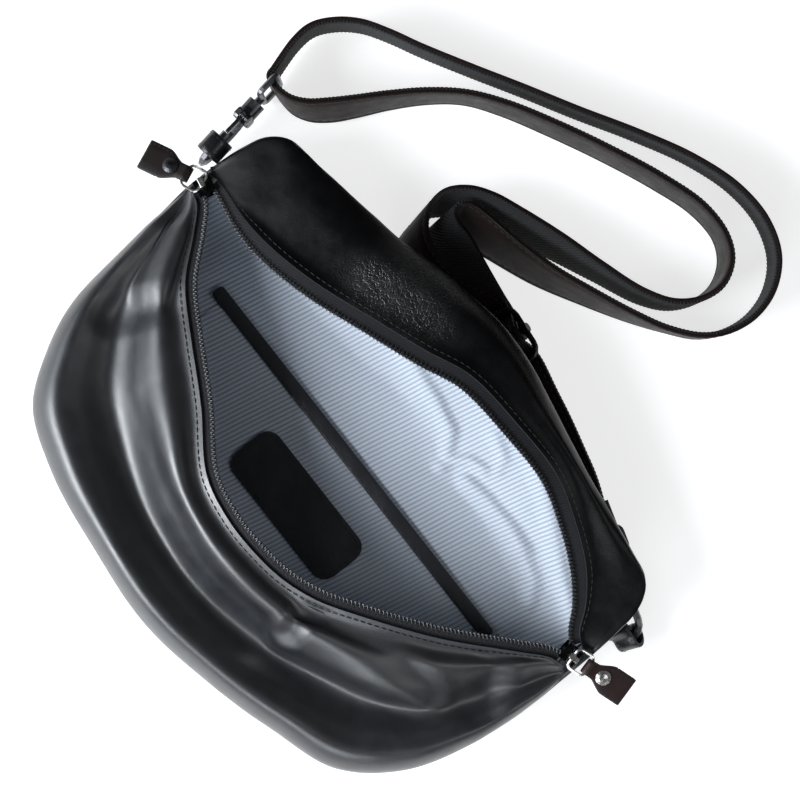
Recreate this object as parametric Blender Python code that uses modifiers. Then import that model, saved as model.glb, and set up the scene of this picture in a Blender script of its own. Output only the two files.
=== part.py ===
"""A soft half-moon belt bag lying on its back panel, its zip open and its strap laid out beside it.

X runs along the zip, Y from the rounded bottom to the top fold, and Z up from the back panel.
"""

from math import asin, atan2, cos, hypot, pi, radians, sin, sqrt

import bmesh
import bpy
from mathutils import Matrix, Vector

# Leather body
HALF_LENGTH = 0.156
BOTTOM_REACH = 0.158
FOLD_REACH = 0.076
SEAM_RISE = 0.020
FOLD_RISE = 0.040
BELLY_HEIGHT = 0.060
BELLY_DISH = 0.017
BELLY_BULGE = 0.0025
INNER_RIDGE = 0.004
LEATHER = 0.0016
LINING = 0.0006
GAP = 0.0003
SEAM_GAP = 0.0017
SEAM_CLIMB = 0.0024
LINING_MARGIN = 0.006

# Mouth and zip
MOUTH_INSET = 0.005
MOUTH_HALF = HALF_LENGTH - MOUTH_INSET
FRONT_REACH = 0.0955
BACK_REACH = 0.0506
MOUTH_DEPTH_END = 0.0245
MOUTH_HEIGHT = 0.060
LIP_HEM = 0.006
TAPE = 0.0007
TAPE_UNTUCKED = 0.0005
TAPE_SHOWN = 0.0050
COIL_WIDTH = 0.0030
COIL_HEIGHT = 0.0015
COIL_PITCH = 0.0031
COIL_VALLEY_SHARE = 0.5

# Pocket on the back wall
POCKET_HALF_LENGTH = 0.106
POCKET_CENTRE_X = 0.0055
POCKET_TOP_Y = -0.0275
POCKET_DEPTH = 0.066
POCKET_CLOTH = 0.0005
BINDING_WIDTH = 0.0075
BINDING = 0.0014
PATCH_LENGTH = 0.081
PATCH_WIDTH = 0.030
PATCH = 0.0012
PATCH_CORNER = 0.008
PATCH_Y = -0.0655

# End loops
LOOP_WIDTH = 0.0115
LOOP_STRAP = 0.0018
LOOP_BORE = 0.0044
LOOP_ROOT_GAP = 0.0042
LOOP_ALONG = 0.0120
LOOP_LIFT = 0.0006

# Zip sliders and pulls
SLIDER_LENGTH = 0.0096
SLIDER_WIDTH = 0.0092
SLIDER_PLATE = 0.0010
SLIDER_PLAY = 0.0004
SLIDER_POST_LENGTH = 0.0030
SLIDER_POST_WIDTH = 0.0020
SLIDER_INSET = 0.0030
BRIDGE_WIDTH = 0.0030
BRIDGE_LENGTH = 0.0058
BRIDGE_HEIGHT = 0.0034
BRIDGE_WALL = 0.0010
RING_WIRE = 0.0008
RING_HALF_WIDTH = 0.0058
RING_LENGTH = 0.0100
RING_CORNER = 0.0022
TAB_LENGTH = 0.0235
TAB_END_WIDTH = 0.0160
TAB_NECK_WIDTH = 0.0078
TAB_THICK = 0.0030
TAB_BORE = 0.0014
RIVET_HEAD = 0.0040
RIVET_DOME = 0.0016
RIVET_SHANK = 0.0012
RIVET_PLACE = 0.0085
PATH_LEAN_SHARE = -0.18
LEFT_PULL_YAW = radians(30)
RIGHT_PULL_YAW = radians(8)
LEFT_TAB_TURN = radians(5)
RIGHT_TAB_TURN = radians(0)
PULL_PITCH = radians(8)

# Swivel snap hooks
CLAW_WIRE = 0.0020
CLAW_HALF = 0.0088
NOSE_REACH = 0.0210
BARREL_RADIUS = 0.0048
BARREL_START = 0.0300
BARREL_END = 0.0430
CROSSBAR_WIDTH = 0.0180
CROSSBAR_LENGTH = 0.0060
CROSSBAR_DEPTH = 0.0090
SHANK_RADIUS = 0.0022
SHANK_HEAD_RADIUS = 0.0032
SHANK_HEAD = 0.0026
SHANK_PLAY = 0.0004
HEAD_SEAT = 0.0365
EYE_WIRE = 0.0017
EYE_START = 0.0465
EYE_END = 0.0585
EYE_INNER_WIDTH = 0.0325
EYE_CORNER = 0.0028
GATE_THICK = 0.0024
GATE_ARM = 0.0020
GATE_WIDTH = 0.0036
GATE_HUB = 0.0020
GATE_PIN = 0.0007
GATE_PIVOT_W = 0.0066
GATE_PIVOT_A = 0.0330
SPRING_WIRE = 0.00025
SPRING_RADIUS = 0.0013
SPRING_TURNS = 2
SPRING_PITCH_SHARE = 2.2

# Strap and slide buckle
STRAP_WIDTH = 0.030
STRAP_LEATHER = 0.0014
STRAP_WEBBING = 0.0013
BUCKLE_WIRE = 0.0016
BUCKLE_LENGTH = 0.0280
BUCKLE_CORNER = 0.0060
BUCKLE_BAR_DROP = 0.0020
BUCKLE_COLLAR = 0.0025

# Counts
LIP_STEPS = 46
FRONT_STEPS = 12
TOP_STEPS = 6
STRAP_STEPS = 2400
STRAP_STRIDE = 15
STRAP_TURN = radians(11)
PROUD = 0.001

# Outline shares of HALF_LENGTH and of the reach to the bottom or to the fold
BOTTOM_SHARES = [
    (-0.985, -0.055), (-0.953, -0.318), (-0.910, -0.555), (-0.831, -0.712), (-0.722, -0.844),
    (-0.533, -0.916), (-0.268, -0.958), (0.030, -0.979), (0.294, -0.939), (0.539, -0.875),
    (0.755, -0.803), (0.901, -0.641), (0.976, -0.422), (1.003, -0.200), (1.000, -0.060),
]
FOLD_SHARES = [
    (-0.985, 0.085), (-0.972, 0.30), (-0.948, 0.49), (-0.899, 0.597), (-0.749, 0.649), (-0.418, 0.761),
    (-0.198, 0.871), (0.000, 0.935), (0.150, 0.918), (0.295, 0.861), (0.546, 0.774), (0.776, 0.705),
    (0.912, 0.645), (0.962, 0.51), (0.985, 0.30), (0.997, 0.085),
]
# Leather edges of the mouth as shares of MOUTH_HALF and of the reach to either side
FRONT_LIP_SHARES = [
    (-1.00, -0.0806), (-0.950, -0.100), (-0.880, -0.20), (-0.760, -0.40), (-0.600, -0.550), (-0.480, -0.650),
    (-0.397, -0.725), (-0.220, -0.905), (-0.070, -0.955), (0.070, -0.955), (0.199, -0.925), (0.320, -0.855),
    (0.430, -0.750), (0.660, -0.500), (0.870, -0.215), (0.945, -0.115), (1.000, -0.0870),
]
BACK_LIP_SHARES = [
    (-1.00, 0.0970), (-0.950, 0.118), (-0.800, 0.090), (-0.660, 0.130), (-0.480, 0.255), (-0.295, 0.455),
    (-0.105, 0.665), (0.050, 0.860), (0.265, 0.925), (0.470, 0.930), (0.630, 0.805), (0.780, 0.610),
    (0.880, 0.38), (0.945, 0.160), (1.000, 0.0850),
]
# Section of the front panel: share of the way to the lip, share of the ridge height, dish and ridge weights
BELLY_SHARES = [
    (-0.020, 0.30, 0.0, 0.0), (0.010, 0.66, 0.0, 0.0), (0.130, 0.95, 0.0, 0.0), (0.270, 0.98, 0.35, 0.0),
    (0.480, 0.97, 1.0, 0.0), (0.700, 0.98, 0.35, 0.0), (0.880, 1.00, 0.0, 1.0),
]

# Strap route, chosen by hand: centre of the strap and the lean of its width from upright
STRAP_OUT = [
    (-0.0328, 0.0735, 0.0088, 0.00, 1.90), (-0.0475, 0.0768, 0.0108, 0.00, 1.30),
    (-0.0565, 0.0783, 0.0128, 0.00, 0.90), (-0.0613, 0.0808, 0.0133, 0.00, 0.80),
    (-0.0630, 0.0852, 0.0133, 0.00, 0.80), (-0.0608, 0.0896, 0.0133, 0.00, 0.80),
    (-0.0555, 0.0920, 0.0133, 0.00, 0.80), (-0.0485, 0.0938, 0.0134, 0.00, 0.78),
    (-0.0342, 0.0978, 0.0142, 0.00, 0.60), (-0.0093, 0.1061, 0.0150, 0.00, 0.40),
    (0.0119, 0.1160, 0.0154, 0.00, 0.25), (0.0350, 0.1280, 0.0156, 0.00, 0.10),
    (0.0510, 0.1380, 0.0154, 0.00, 0.00), (0.0640, 0.1490, 0.0154, 0.00, 0.00),
    (0.0705, 0.1607, 0.0154, 0.00, 0.00), (0.0725, 0.1751, 0.0154, 0.00, 0.00),
    (0.0682, 0.1901, 0.0154, 0.00, 0.00), (0.0565, 0.2031, 0.0154, 0.00, 0.00),
    (0.0384, 0.2096, 0.0154, 0.00, 0.00), (0.0165, 0.2088, 0.0154, 0.00, 0.00),
    (-0.0089, 0.2004, 0.0154, 0.00, 0.00), (-0.0364, 0.1859, 0.0154, 0.00, 0.00),
    (-0.0622, 0.1704, 0.0154, 0.00, 0.00), (-0.0892, 0.1549, 0.0156, 0.00, 0.00),
    (-0.1125, 0.1410, 0.0162, 0.00, 0.00), (-0.1369, 0.1269, 0.0172, 0.00, 0.00),
    (-0.1512, 0.1194, 0.0180, 0.00, 0.00), (-0.1642, 0.1110, 0.0190, 0.00, 0.00),
    (-0.1730, 0.1010, 0.0200, 0.00, 0.00), (-0.1780, 0.0900, 0.0206, 0.00, 0.00),
    (-0.1775, 0.0790, 0.0210, 0.00, 0.00),
]
STRAP_BACK = [
    (-0.1615, 0.0577, 0.0210, -0.04, 0.03), (-0.1545, 0.0592, 0.0208, -0.10, 0.08),
    (-0.1475, 0.0640, 0.0204, -0.15, 0.12), (-0.1410, 0.0725, 0.0198, -0.18, 0.14),
    (-0.1345, 0.0840, 0.0190, -0.15, 0.12), (-0.1270, 0.0985, 0.0180, -0.10, 0.08),
    (-0.1166, 0.1155, 0.0170, -0.06, 0.05), (-0.1041, 0.1305, 0.0162, -0.02, 0.06),
    (-0.0880, 0.1425, 0.0157, 0.00, 0.10), (-0.0640, 0.1560, 0.0155, 0.00, 0.12),
    (-0.0379, 0.1690, 0.0154, 0.00, 0.12), (-0.0103, 0.1810, 0.0154, 0.00, 0.12),
    (0.0134, 0.1885, 0.0154, 0.02, 0.10), (0.0318, 0.1885, 0.0154, 0.04, 0.06),
    (0.0434, 0.1825, 0.0154, 0.05, 0.06), (0.0500, 0.1714, 0.0154, 0.04, 0.05),
    (0.0495, 0.1594, 0.0154, 0.00, 0.05), (0.0430, 0.1475, 0.0154, -0.06, 0.06),
    (0.0301, 0.1380, 0.0154, -0.12, 0.10), (0.0068, 0.1285, 0.0154, -0.12, 0.20),
    (-0.0177, 0.1192, 0.0152, -0.10, 0.38), (-0.0410, 0.1095, 0.0144, -0.06, 0.54),
    (-0.0558, 0.1023, 0.0136, -0.06, 0.66), (-0.0655, 0.0945, 0.0130, -0.10, 0.70),
    (-0.0712, 0.0845, 0.0130, -0.10, 0.70), (-0.0695, 0.0712, 0.0122, -0.10, 0.90),
    (-0.0623, 0.0620, 0.0108, 0.00, 1.20), (-0.0490, 0.0582, 0.0096, 0.00, 1.50),
    (-0.0340, 0.0600, 0.0093, 0.00, 1.80), (-0.0235, 0.0645, 0.0103, 0.10, 2.00),
]
STRAP_TAIL = [
    (0.0390, 0.0620, 0.0100, 0.25, 2.10), (0.0540, 0.0590, 0.0096, 0.30, 2.00),
    (0.0700, 0.0550, 0.0110, 0.40, 1.85), (0.0850, 0.0508, 0.0142, 0.48, 1.72),
]
BUCKLE_CENTRE = (0.0050, 0.0655, 0.0148)
BUCKLE_ALONG = (0.995, -0.100)
BUCKLE_LEAN = radians(25)

# Where the hooks hang: centre of the loop's bore, heading of the hook and its slope and lean
LEFT_LOOP_OUT = 0.0055
RIGHT_LOOP_OUT = 0.0065
LEFT_LOOP = (-HALF_LENGTH - LEFT_LOOP_OUT, 0.0150, 0.0292)
LEFT_HEADING = radians(99)
RIGHT_LOOP = (HALF_LENGTH + RIGHT_LOOP_OUT, 0.0262, 0.0130)
RIGHT_HEADING = radians(163)
RIGHT_SLOPE = 0.0
RIGHT_LEAN = radians(30)

parts = None
guides = None


def clear_scene():
    """An empty scene with a collection for the bag and one for its cutters."""
    global parts, guides
    for thing in list(bpy.data.objects):
        bpy.data.objects.remove(thing, do_unlink=True)
    parts = bpy.data.collections.new("belt_bag")
    guides = bpy.data.collections.new("belt_bag_cutters")
    bpy.context.scene.collection.children.link(parts)
    bpy.context.scene.collection.children.link(guides)


def material(name, colour, roughness, metallic=0.0):
    """A Principled material, made once for each name."""
    made = bpy.data.materials.get(name)
    if made is None:
        made = bpy.data.materials.new(name)
        made.use_nodes = True
        shader = made.node_tree.nodes["Principled BSDF"]
        shader.inputs["Base Color"].default_value = (*colour, 1.0)
        shader.inputs["Roughness"].default_value = roughness
        shader.inputs["Metallic"].default_value = metallic
    return made


def black_leather():
    return material("black_leather", (0.012, 0.012, 0.014), 0.32)


def brown_black_leather():
    return material("brown_black_leather", (0.030, 0.018, 0.015), 0.45)


def lining_cloth():
    return material("lining_cloth", (0.42, 0.47, 0.56), 0.85)


def zip_tape():
    return material("zip_tape", (0.020, 0.020, 0.022), 0.8)


def zip_nylon():
    return material("zip_nylon", (0.015, 0.015, 0.017), 0.4)


def nickel():
    return material("nickel", (0.55, 0.53, 0.50), 0.25, 1.0)


def gunmetal():
    return material("gunmetal", (0.09, 0.09, 0.095), 0.35, 1.0)


def black_webbing():
    return material("black_webbing", (0.014, 0.014, 0.015), 0.9)


def add(mesh, name, finish, sharp=40.0):
    """A mesh as an object of the bag, shaded smooth up to an angle."""
    thing = bpy.data.objects.new(name, mesh)
    parts.objects.link(thing)
    mesh.materials.clear()
    mesh.materials.append(finish)
    mesh.shade_smooth()
    mesh.set_sharp_from_angle(angle=radians(sharp))
    return thing


def to_guides(thing):
    """Makes an object a cutter that neither renders nor counts."""
    for home in list(thing.users_collection):
        home.objects.unlink(thing)
    guides.objects.link(thing)
    thing.hide_render = True
    thing.display_type = "WIRE"
    return thing


def boolean(thing, other, operation):
    """Cuts an object by, or joins it to, a second one that stays as a guide."""
    step = thing.modifiers.new(f"{operation.lower()} {other.name}", "BOOLEAN")
    step.operation = operation
    step.object = to_guides(other)
    step.solver = "EXACT"


def mesh_of(build, name):
    """A mesh from a bmesh, which is freed."""
    bmesh.ops.recalc_face_normals(build, faces=build.faces)
    mesh = bpy.data.meshes.new(name)
    build.to_mesh(mesh)
    build.free()
    return mesh


def smooth_path(points, count, closed=False):
    """Points spaced evenly along a smooth curve through the given ones, of any dimension."""
    rows = [tuple(p) for p in points]
    size = len(rows[0])
    fine = []
    spans = len(rows) if closed else len(rows) - 1
    for i in range(spans):
        if closed:
            a, b, c, d = (rows[(i + k - 1) % len(rows)] for k in range(4))
        else:
            b, c = rows[i], rows[i + 1]
            a = rows[i - 1] if i else tuple(2 * b[k] - c[k] for k in range(size))
            d = rows[i + 2] if i + 2 < len(rows) else tuple(2 * c[k] - b[k] for k in range(size))
        before, across, after = (
            max(sqrt(sqrt(sum((q[k] - p[k]) ** 2 for k in range(min(size, 3))))), 1e-6)
            for p, q in ((a, b), (b, c), (c, d))
        )
        leave = [
            (c[k] - b[k]) + across * ((b[k] - a[k]) / before - (c[k] - a[k]) / (before + across))
            for k in range(size)
        ]
        arrive = [
            (c[k] - b[k]) + across * ((d[k] - c[k]) / after - (d[k] - b[k]) / (across + after))
            for k in range(size)
        ]
        for step in range(16):
            t = step / 16
            fine.append(tuple(
                b[k] * (1 - t) ** 2 * (1 + 2 * t) + c[k] * t**2 * (3 - 2 * t)
                + leave[k] * t * (1 - t) ** 2 - arrive[k] * t**2 * (1 - t)
                for k in range(size)
            ))
    fine.append(rows[0] if closed else rows[-1])
    along = [0.0]
    for p, q in zip(fine, fine[1:]):
        along.append(along[-1] + sqrt(sum((q[k] - p[k]) ** 2 for k in range(min(size, 3)))))
    total = along[-1]
    steps = count if closed else count - 1
    made = []
    place = 0
    for i in range(count):
        wanted = total * i / steps
        while place < len(along) - 2 and along[place + 1] < wanted:
            place += 1
        span = along[place + 1] - along[place]
        t = (wanted - along[place]) / span if span else 0.0
        made.append(tuple(fine[place][k] + t * (fine[place + 1][k] - fine[place][k]) for k in range(size)))
    return made


def sheet(name, rows, thick, centre, finish, closed=False):
    """A grid of points made a shell of a thickness whose middle lies off the grid along its normals."""
    build = bmesh.new()
    verts = [[build.verts.new(p) for p in row] for row in rows]
    for a, b in zip(verts, verts[1:]):
        for i in range(len(a) if closed else len(a) - 1):
            j = (i + 1) % len(a)
            build.faces.new((a[i], a[j], b[j], b[i]))
    mesh = bpy.data.meshes.new(name)
    build.to_mesh(mesh)
    build.free()
    thing = add(mesh, name, finish)
    shell = thing.modifiers.new("thickness", "SOLIDIFY")
    shell.thickness = thick
    shell.offset = 2 * centre / thick
    shell.use_even_offset = True
    return thing


def loft(name, rings, finish, sharp=40.0, band=False):
    """A closed solid through rings of points, capped at both ends; a band's two faces are cut alike."""
    build = bmesh.new()
    verts = [[build.verts.new(p) for p in ring] for ring in rings]
    for a, b in zip(verts, verts[1:]):
        for i in range(len(a)):
            j = (i + 1) % len(a)
            if band and i == 0:
                build.faces.new((a[i], a[j], b[j]))
                build.faces.new((a[i], b[j], b[i]))
            elif band and i == 2:
                build.faces.new((a[i], a[j], b[i]))
                build.faces.new((a[j], b[j], b[i]))
            else:
                build.faces.new((a[i], a[j], b[j], b[i]))
    build.faces.new(list(reversed(verts[0])))
    build.faces.new(verts[-1])
    return add(mesh_of(build, name), name, finish, sharp)


def cylinder(name, radius, length, place, finish, sides=16):
    """A cylinder along local Z, whose middle a matrix places."""
    build = bmesh.new()
    bmesh.ops.create_cone(
        build, cap_ends=True, segments=sides, radius1=radius, radius2=radius, depth=length, matrix=place
    )
    return add(mesh_of(build, name), name, finish)


def block(name, size, place, finish, rounded=0.0):
    """A box of a size, placed by a matrix, with rounded edges if asked for."""
    build = bmesh.new()
    bmesh.ops.create_cube(build, size=1.0, matrix=Matrix.Diagonal((*size, 1.0)))
    if rounded:
        bmesh.ops.bevel(
            build, geom=build.edges[:], offset=rounded, segments=2, profile=0.5, affect="EDGES"
        )
    bmesh.ops.transform(build, matrix=place, verts=build.verts)
    return add(mesh_of(build, name), name, finish)


def wire(name, points, radius, finish, closed=False, resolution=1):
    """A round wire along points, as a closed mesh."""
    data = bpy.data.curves.new(name, "CURVE")
    data.dimensions = "3D"
    data.bevel_depth = radius
    data.bevel_resolution = resolution
    data.use_fill_caps = True
    spline = data.splines.new("POLY")
    spline.points.add(len(points) - 1)
    for point, place in zip(spline.points, points):
        point.co = (*place, 1.0)
    spline.use_cyclic_u = closed
    curve = bpy.data.objects.new(f"{name}_curve", data)
    parts.objects.link(curve)
    bpy.context.view_layer.update()
    mesh = bpy.data.meshes.new_from_object(curve.evaluated_get(bpy.context.evaluated_depsgraph_get()))
    bpy.data.objects.remove(curve, do_unlink=True)
    build = bmesh.new()
    build.from_mesh(mesh)
    bmesh.ops.remove_doubles(build, verts=build.verts, dist=radius / 100)
    bpy.data.meshes.remove(mesh)
    return add(mesh_of(build, name), name, finish)


def rounded_loop(half_a, half_b, corner, steps=4):
    """Points round a rectangle with round corners, as pairs."""
    points = []
    for quarter, (sa, sb) in enumerate(((1, 1), (-1, 1), (-1, -1), (1, -1))):
        for step in range(steps + 1):
            angle = (quarter + step / steps) * pi / 2
            points.append((
                sa * (half_a - corner) + corner * cos(angle),
                sb * (half_b - corner) + corner * sin(angle),
            ))
    return points


def basis(origin, x_axis, y_axis, z_axis):
    """The matrix of a frame from its origin and axes."""
    made = Matrix((x_axis, y_axis, z_axis)).transposed().to_4x4()
    made.translation = origin
    return made


def smoothstep(low, high, value):
    t = min(1.0, max(0.0, (value - low) / (high - low)))
    return t * t * (3 - 2 * t)


# Shape of the leather body

def outline():
    """The seam round the bag seen from above, from the left zip end by the bottom and back by the fold."""
    bottom = [(x * HALF_LENGTH, y * BOTTOM_REACH) for x, y in BOTTOM_SHARES]
    fold = [(x * HALF_LENGTH, y * FOLD_REACH) for x, y in FOLD_SHARES]
    return bottom, fold


def seam_height(y):
    """Height of the seam over the floor, which climbs towards the fold."""
    return SEAM_RISE + (FOLD_RISE - SEAM_RISE) * max(0.0, y / FOLD_REACH)


BACK_CENTRE_SHARE = -0.32
FLAT_SHARE = 0.84
FLAT_SHARE_AT_FOLD = 0.52
BACK_CURVE_POWER = 1.3
FLAT_BORDER_SHARE = 0.03


def back_section(x, y, share):
    """The point of the back panel's underside that is a share of the way from its centre to a rim point."""
    centre_y = BACK_CENTRE_SHARE * BOTTOM_REACH
    flat = FLAT_SHARE - (FLAT_SHARE - FLAT_SHARE_AT_FOLD) * smoothstep(-0.3, 0.8, y / FOLD_REACH)
    rise = max(0.0, (share - flat) / (1 - flat)) ** BACK_CURVE_POWER
    return Vector((x * share, centre_y + (y - centre_y) * share, seam_height(y) * rise))


def back_rows(rim_share):
    """Rings of the back panel's underside, from the flat middle to the rim."""
    bottom, fold = outline()
    rim = smooth_path(bottom, 31) + smooth_path(fold, 26)[::-1]
    rows = []
    for step in range(-1, 8):
        row = []
        for x, y in rim:
            flat = FLAT_SHARE - (FLAT_SHARE - FLAT_SHARE_AT_FOLD) * smoothstep(-0.3, 0.8, y / FOLD_REACH)
            share = flat + (rim_share - flat) * step / 7 if step >= 0 else flat - FLAT_BORDER_SHARE
            row.append(back_section(x, y, share))
        rows.append(row)
    return rows


def back_sheet(name, thick, centre, rim_share, finish):
    """A sheet that follows the back panel, flat in the middle."""
    rows = back_rows(rim_share)
    build = bmesh.new()
    verts = [[build.verts.new(p) for p in row] for row in rows]
    build.faces.new(verts[0])
    for a, b in zip(verts, verts[1:]):
        for i in range(len(a)):
            j = (i + 1) % len(a)
            build.faces.new((a[j], a[i], b[i], b[j]))
    bmesh.ops.recalc_face_normals(build, faces=build.faces)
    build.normal_update()
    if build.faces[:][0].normal.z > 0:
        bmesh.ops.reverse_faces(build, faces=build.faces)
    mesh = bpy.data.meshes.new(name)
    build.to_mesh(mesh)
    build.free()
    thing = add(mesh, name, finish)
    shell = thing.modifiers.new("thickness", "SOLIDIFY")
    shell.thickness = thick
    shell.offset = 2 * centre / thick
    shell.use_even_offset = True
    return thing


def lip_height(x):
    """Height of the zip's tape over the floor, the same on both sides of the mouth."""
    share = max(0.0, 1 - abs(x) / MOUTH_HALF)
    return MOUTH_DEPTH_END + (MOUTH_HEIGHT - MOUTH_DEPTH_END) * sin(share * pi / 2)


END_SLOPE = (MOUTH_HEIGHT - MOUTH_DEPTH_END) * pi / 2 / MOUTH_HALF


def lip_frames(shares, reach, side):
    """Along one leather edge of the mouth: the point, the run, the way up and the way into the mouth."""
    path = smooth_path([(x * MOUTH_HALF, y * reach) for x, y in shares], LIP_STEPS)
    points = [Vector((x, y, lip_height(x))) for x, y in path]
    frames = []
    for i, point in enumerate(points):
        before = points[max(i - 1, 0)]
        after = points[min(i + 1, len(points) - 1)]
        run = (after - before).normalized()
        from_end = (MOUTH_HALF - abs(point.x)) / MOUTH_HALF
        end_up = Vector((END_SLOPE * (1 if point.x > 0 else -1), 0, 1)).normalized()
        mid_up = Vector((0, side * 0.25, 1)).normalized()
        up = end_up.lerp(mid_up, smoothstep(0.3, 0.6, from_end))
        up = (up - run * up.dot(run)).normalized()
        into = up.cross(run) * -side
        if into.y * side > 0:
            into = -into
        frames.append((point, run, up, into))
    return frames


LEATHER_LIFT = TAPE / 2 + GAP + LEATHER
LINING_CENTRE = TAPE / 2 + GAP + LINING / 2


def front_rows():
    """The outer face of the front panel, from the bottom seam over the belly to the zip."""
    bottom, _ = outline()
    seam = smooth_path(bottom, LIP_STEPS)
    frames = lip_frames(FRONT_LIP_SHARES, FRONT_REACH, -1)
    rows = []
    for i, ((sx, sy), (point, _, up, into)) in enumerate(zip(seam, frames)):
        share = i / (LIP_STEPS - 1)
        swell = sin(pi * share) ** 0.8
        start = Vector((sx, sy, seam_height(sy) + SEAM_GAP))
        end = point + up * LEATHER_LIFT
        hem = hem_at(share)
        inner = end - into * hem
        away = inner - start
        away.z = 0
        ridge = start.z + (BELLY_HEIGHT - start.z) * swell
        climb = start + Vector((0, 0, SEAM_CLIMB * swell))
        profile = [climb]
        for across, climb, dish, bump in BELLY_SHARES:
            flat = start + away * across
            flat -= away.normalized() * BELLY_BULGE * swell * (1 if across < 0.05 else 0)
            crest = start.z + (ridge - start.z) * climb
            base = crest + (inner.z - crest) * max(0.0, across) ** 2
            flat.z = base - BELLY_DISH * swell * dish + INNER_RIDGE * swell * bump
            profile.append(flat)
        profile += [inner, end]
        rows.append([start] + [Vector(p) for p in smooth_path(profile, FRONT_STEPS)])
    return rows


def top_rows():
    """The outer face of the top panel, from the fold to the zip."""
    _, fold = outline()
    seam = smooth_path(fold, LIP_STEPS)
    frames = lip_frames(BACK_LIP_SHARES, BACK_REACH, 1)
    rows = []
    for i, ((sx, sy), (point, _, up, into)) in enumerate(zip(seam, frames)):
        share = i / (LIP_STEPS - 1)
        swell = sin(pi * share) ** 0.8
        start = Vector((sx, sy, seam_height(sy) + SEAM_GAP))
        end = point + up * LEATHER_LIFT
        hem = hem_at(share)
        inner = end - into * hem
        away = inner - start
        away.z = 0
        low = start - away.normalized() * BELLY_BULGE * swell * 0.6
        low.z = start.z + SEAM_CLIMB + 0.3 * (inner.z - start.z)
        high = start + away * 0.3
        high.z = start.z + 0.8 * (inner.z - start.z) + BELLY_BULGE * swell
        climb = start + Vector((0, 0, SEAM_CLIMB))
        rows.append([start] + [Vector(p) for p in smooth_path([climb, low, high, inner, end], TOP_STEPS)])
    return rows


def panel(name, rows, side, finish_leather, finish_lining, lining_name):
    """A leather panel and the lining behind it, from the same outer face."""
    if side < 0:
        rows = rows[::-1]
    leather = sheet(name, rows, LEATHER, -LEATHER / 2, finish_leather)
    cloth_rows = []
    for row in rows:
        length = sum((b - a).length for a, b in zip(row, row[1:]))
        low = min(0.45, LINING_MARGIN / length)
        high = 1 - min(0.4, (LIP_HEM + LEATHER / 2) / length)
        dense = smooth_path(row, 61)
        pick = [dense[round(60 * (low + (high - low) * k / (len(row) - 1)))] for k in range(len(row))]
        cloth_rows.append([Vector(p) for p in pick])
    inset = cloth_rows[4:-4]
    lining = sheet(lining_name, inset, LINING, -(LEATHER_LIFT + LINING_CENTRE), finish_lining)
    return leather, lining


def hem_at(share):
    """Width of the flat hem along a lip, narrower towards the zip's ends."""
    return LIP_HEM * (0.25 + 0.75 * smoothstep(0.0, 0.2, min(share, 1 - share)))


def strip(name, frames, high, bottom, top, finish):
    """A flat strip along a lip, from under its hem to a distance into the mouth."""
    rings = []
    for i, (point, _, up, into) in enumerate(frames):
        low = TAPE_UNTUCKED - hem_at((i + 1) / (LIP_STEPS - 1))
        rings.append([
            point + into * low + up * bottom, point + into * high + up * bottom,
            point + into * high + up * top, point + into * low + up * top,
        ])
    return loft(name, rings, finish)


def coil(name, frames, finish):
    """The zip's nylon coil, sewn on its tape: one rib for every two turns."""
    middle = TAPE_SHOWN - COIL_WIDTH / 2 + COIL_WIDTH / 3
    base = TAPE / 2 + GAP
    line = [point + into * middle + up * base for point, _, up, into in frames]
    length = sum((b - a).length for a, b in zip(line, line[1:]))
    turns = int(length / COIL_PITCH)
    rows = [(*line[i], *frames[i][2], *frames[i][3]) for i in range(len(line))]
    spaced = smooth_path(rows, 2 * turns + 1)
    rings = []
    for i, row in enumerate(spaced):
        centre = Vector(row[:3])
        up = Vector(row[3:6]).normalized()
        into = Vector(row[6:9]).normalized()
        share = 1.0 if i % 2 else COIL_VALLEY_SHARE
        half = COIL_WIDTH / 2 * (1.0 if i % 2 else 0.8)
        rings.append([
            centre - into * half, centre + into * half,
            centre + into * half * 0.8 + up * COIL_HEIGHT * share,
            centre - into * half * 0.8 + up * COIL_HEIGHT * share,
        ])
    return loft(name, rings, finish, 20.0)


def make_body():
    """The leather panels, their linings and the zip."""
    leather = black_leather()
    cloth = lining_cloth()
    back_sheet("back_panel", LEATHER, -LEATHER / 2, 1.0, leather)
    back_sheet("lining_back", LINING, -(LEATHER + 2 * GAP + LINING / 2), 0.96, cloth)
    panel("front_panel", front_rows(), -1, leather, cloth, "lining_front")
    panel("top_panel", top_rows(), 1, leather, cloth, "lining_top")
    for name, shares, reach, side in (
        ("front", FRONT_LIP_SHARES, FRONT_REACH, -1), ("back", BACK_LIP_SHARES, BACK_REACH, 1)
    ):
        frames = lip_frames(shares, reach, side)
        ends = [tuple((a + b) / 2 for a, b in zip(frames[i], frames[i + 1])) for i in (0, -2)]
        tape = [ends[0]] + frames[1:-1] + [ends[1]]
        strip(f"{name}_zip_tape", tape, TAPE_SHOWN, -TAPE / 2, TAPE / 2, zip_tape())
        coil(f"{name}_zip_coil", tape, zip_nylon())


def laid_plate(name, centre, half_x, half_y, corner, low, thick, finish):
    """A plate with round corners that lies on the flat of the back wall at a height over its underside."""
    columns = 12
    rows = []
    for step in range(columns + 1):
        x = -half_x + 2 * half_x * step / columns
        near_end = max(0.0, abs(x) - (half_x - corner))
        half = half_y - corner + sqrt(max(0.0, corner**2 - near_end**2))
        rows.append([Vector((centre[0] + x, centre[1] + half * k, low)) for k in (-1, 0, 1)])
    return sheet(name, rows[::-1], thick, thick / 2, finish)


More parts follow.
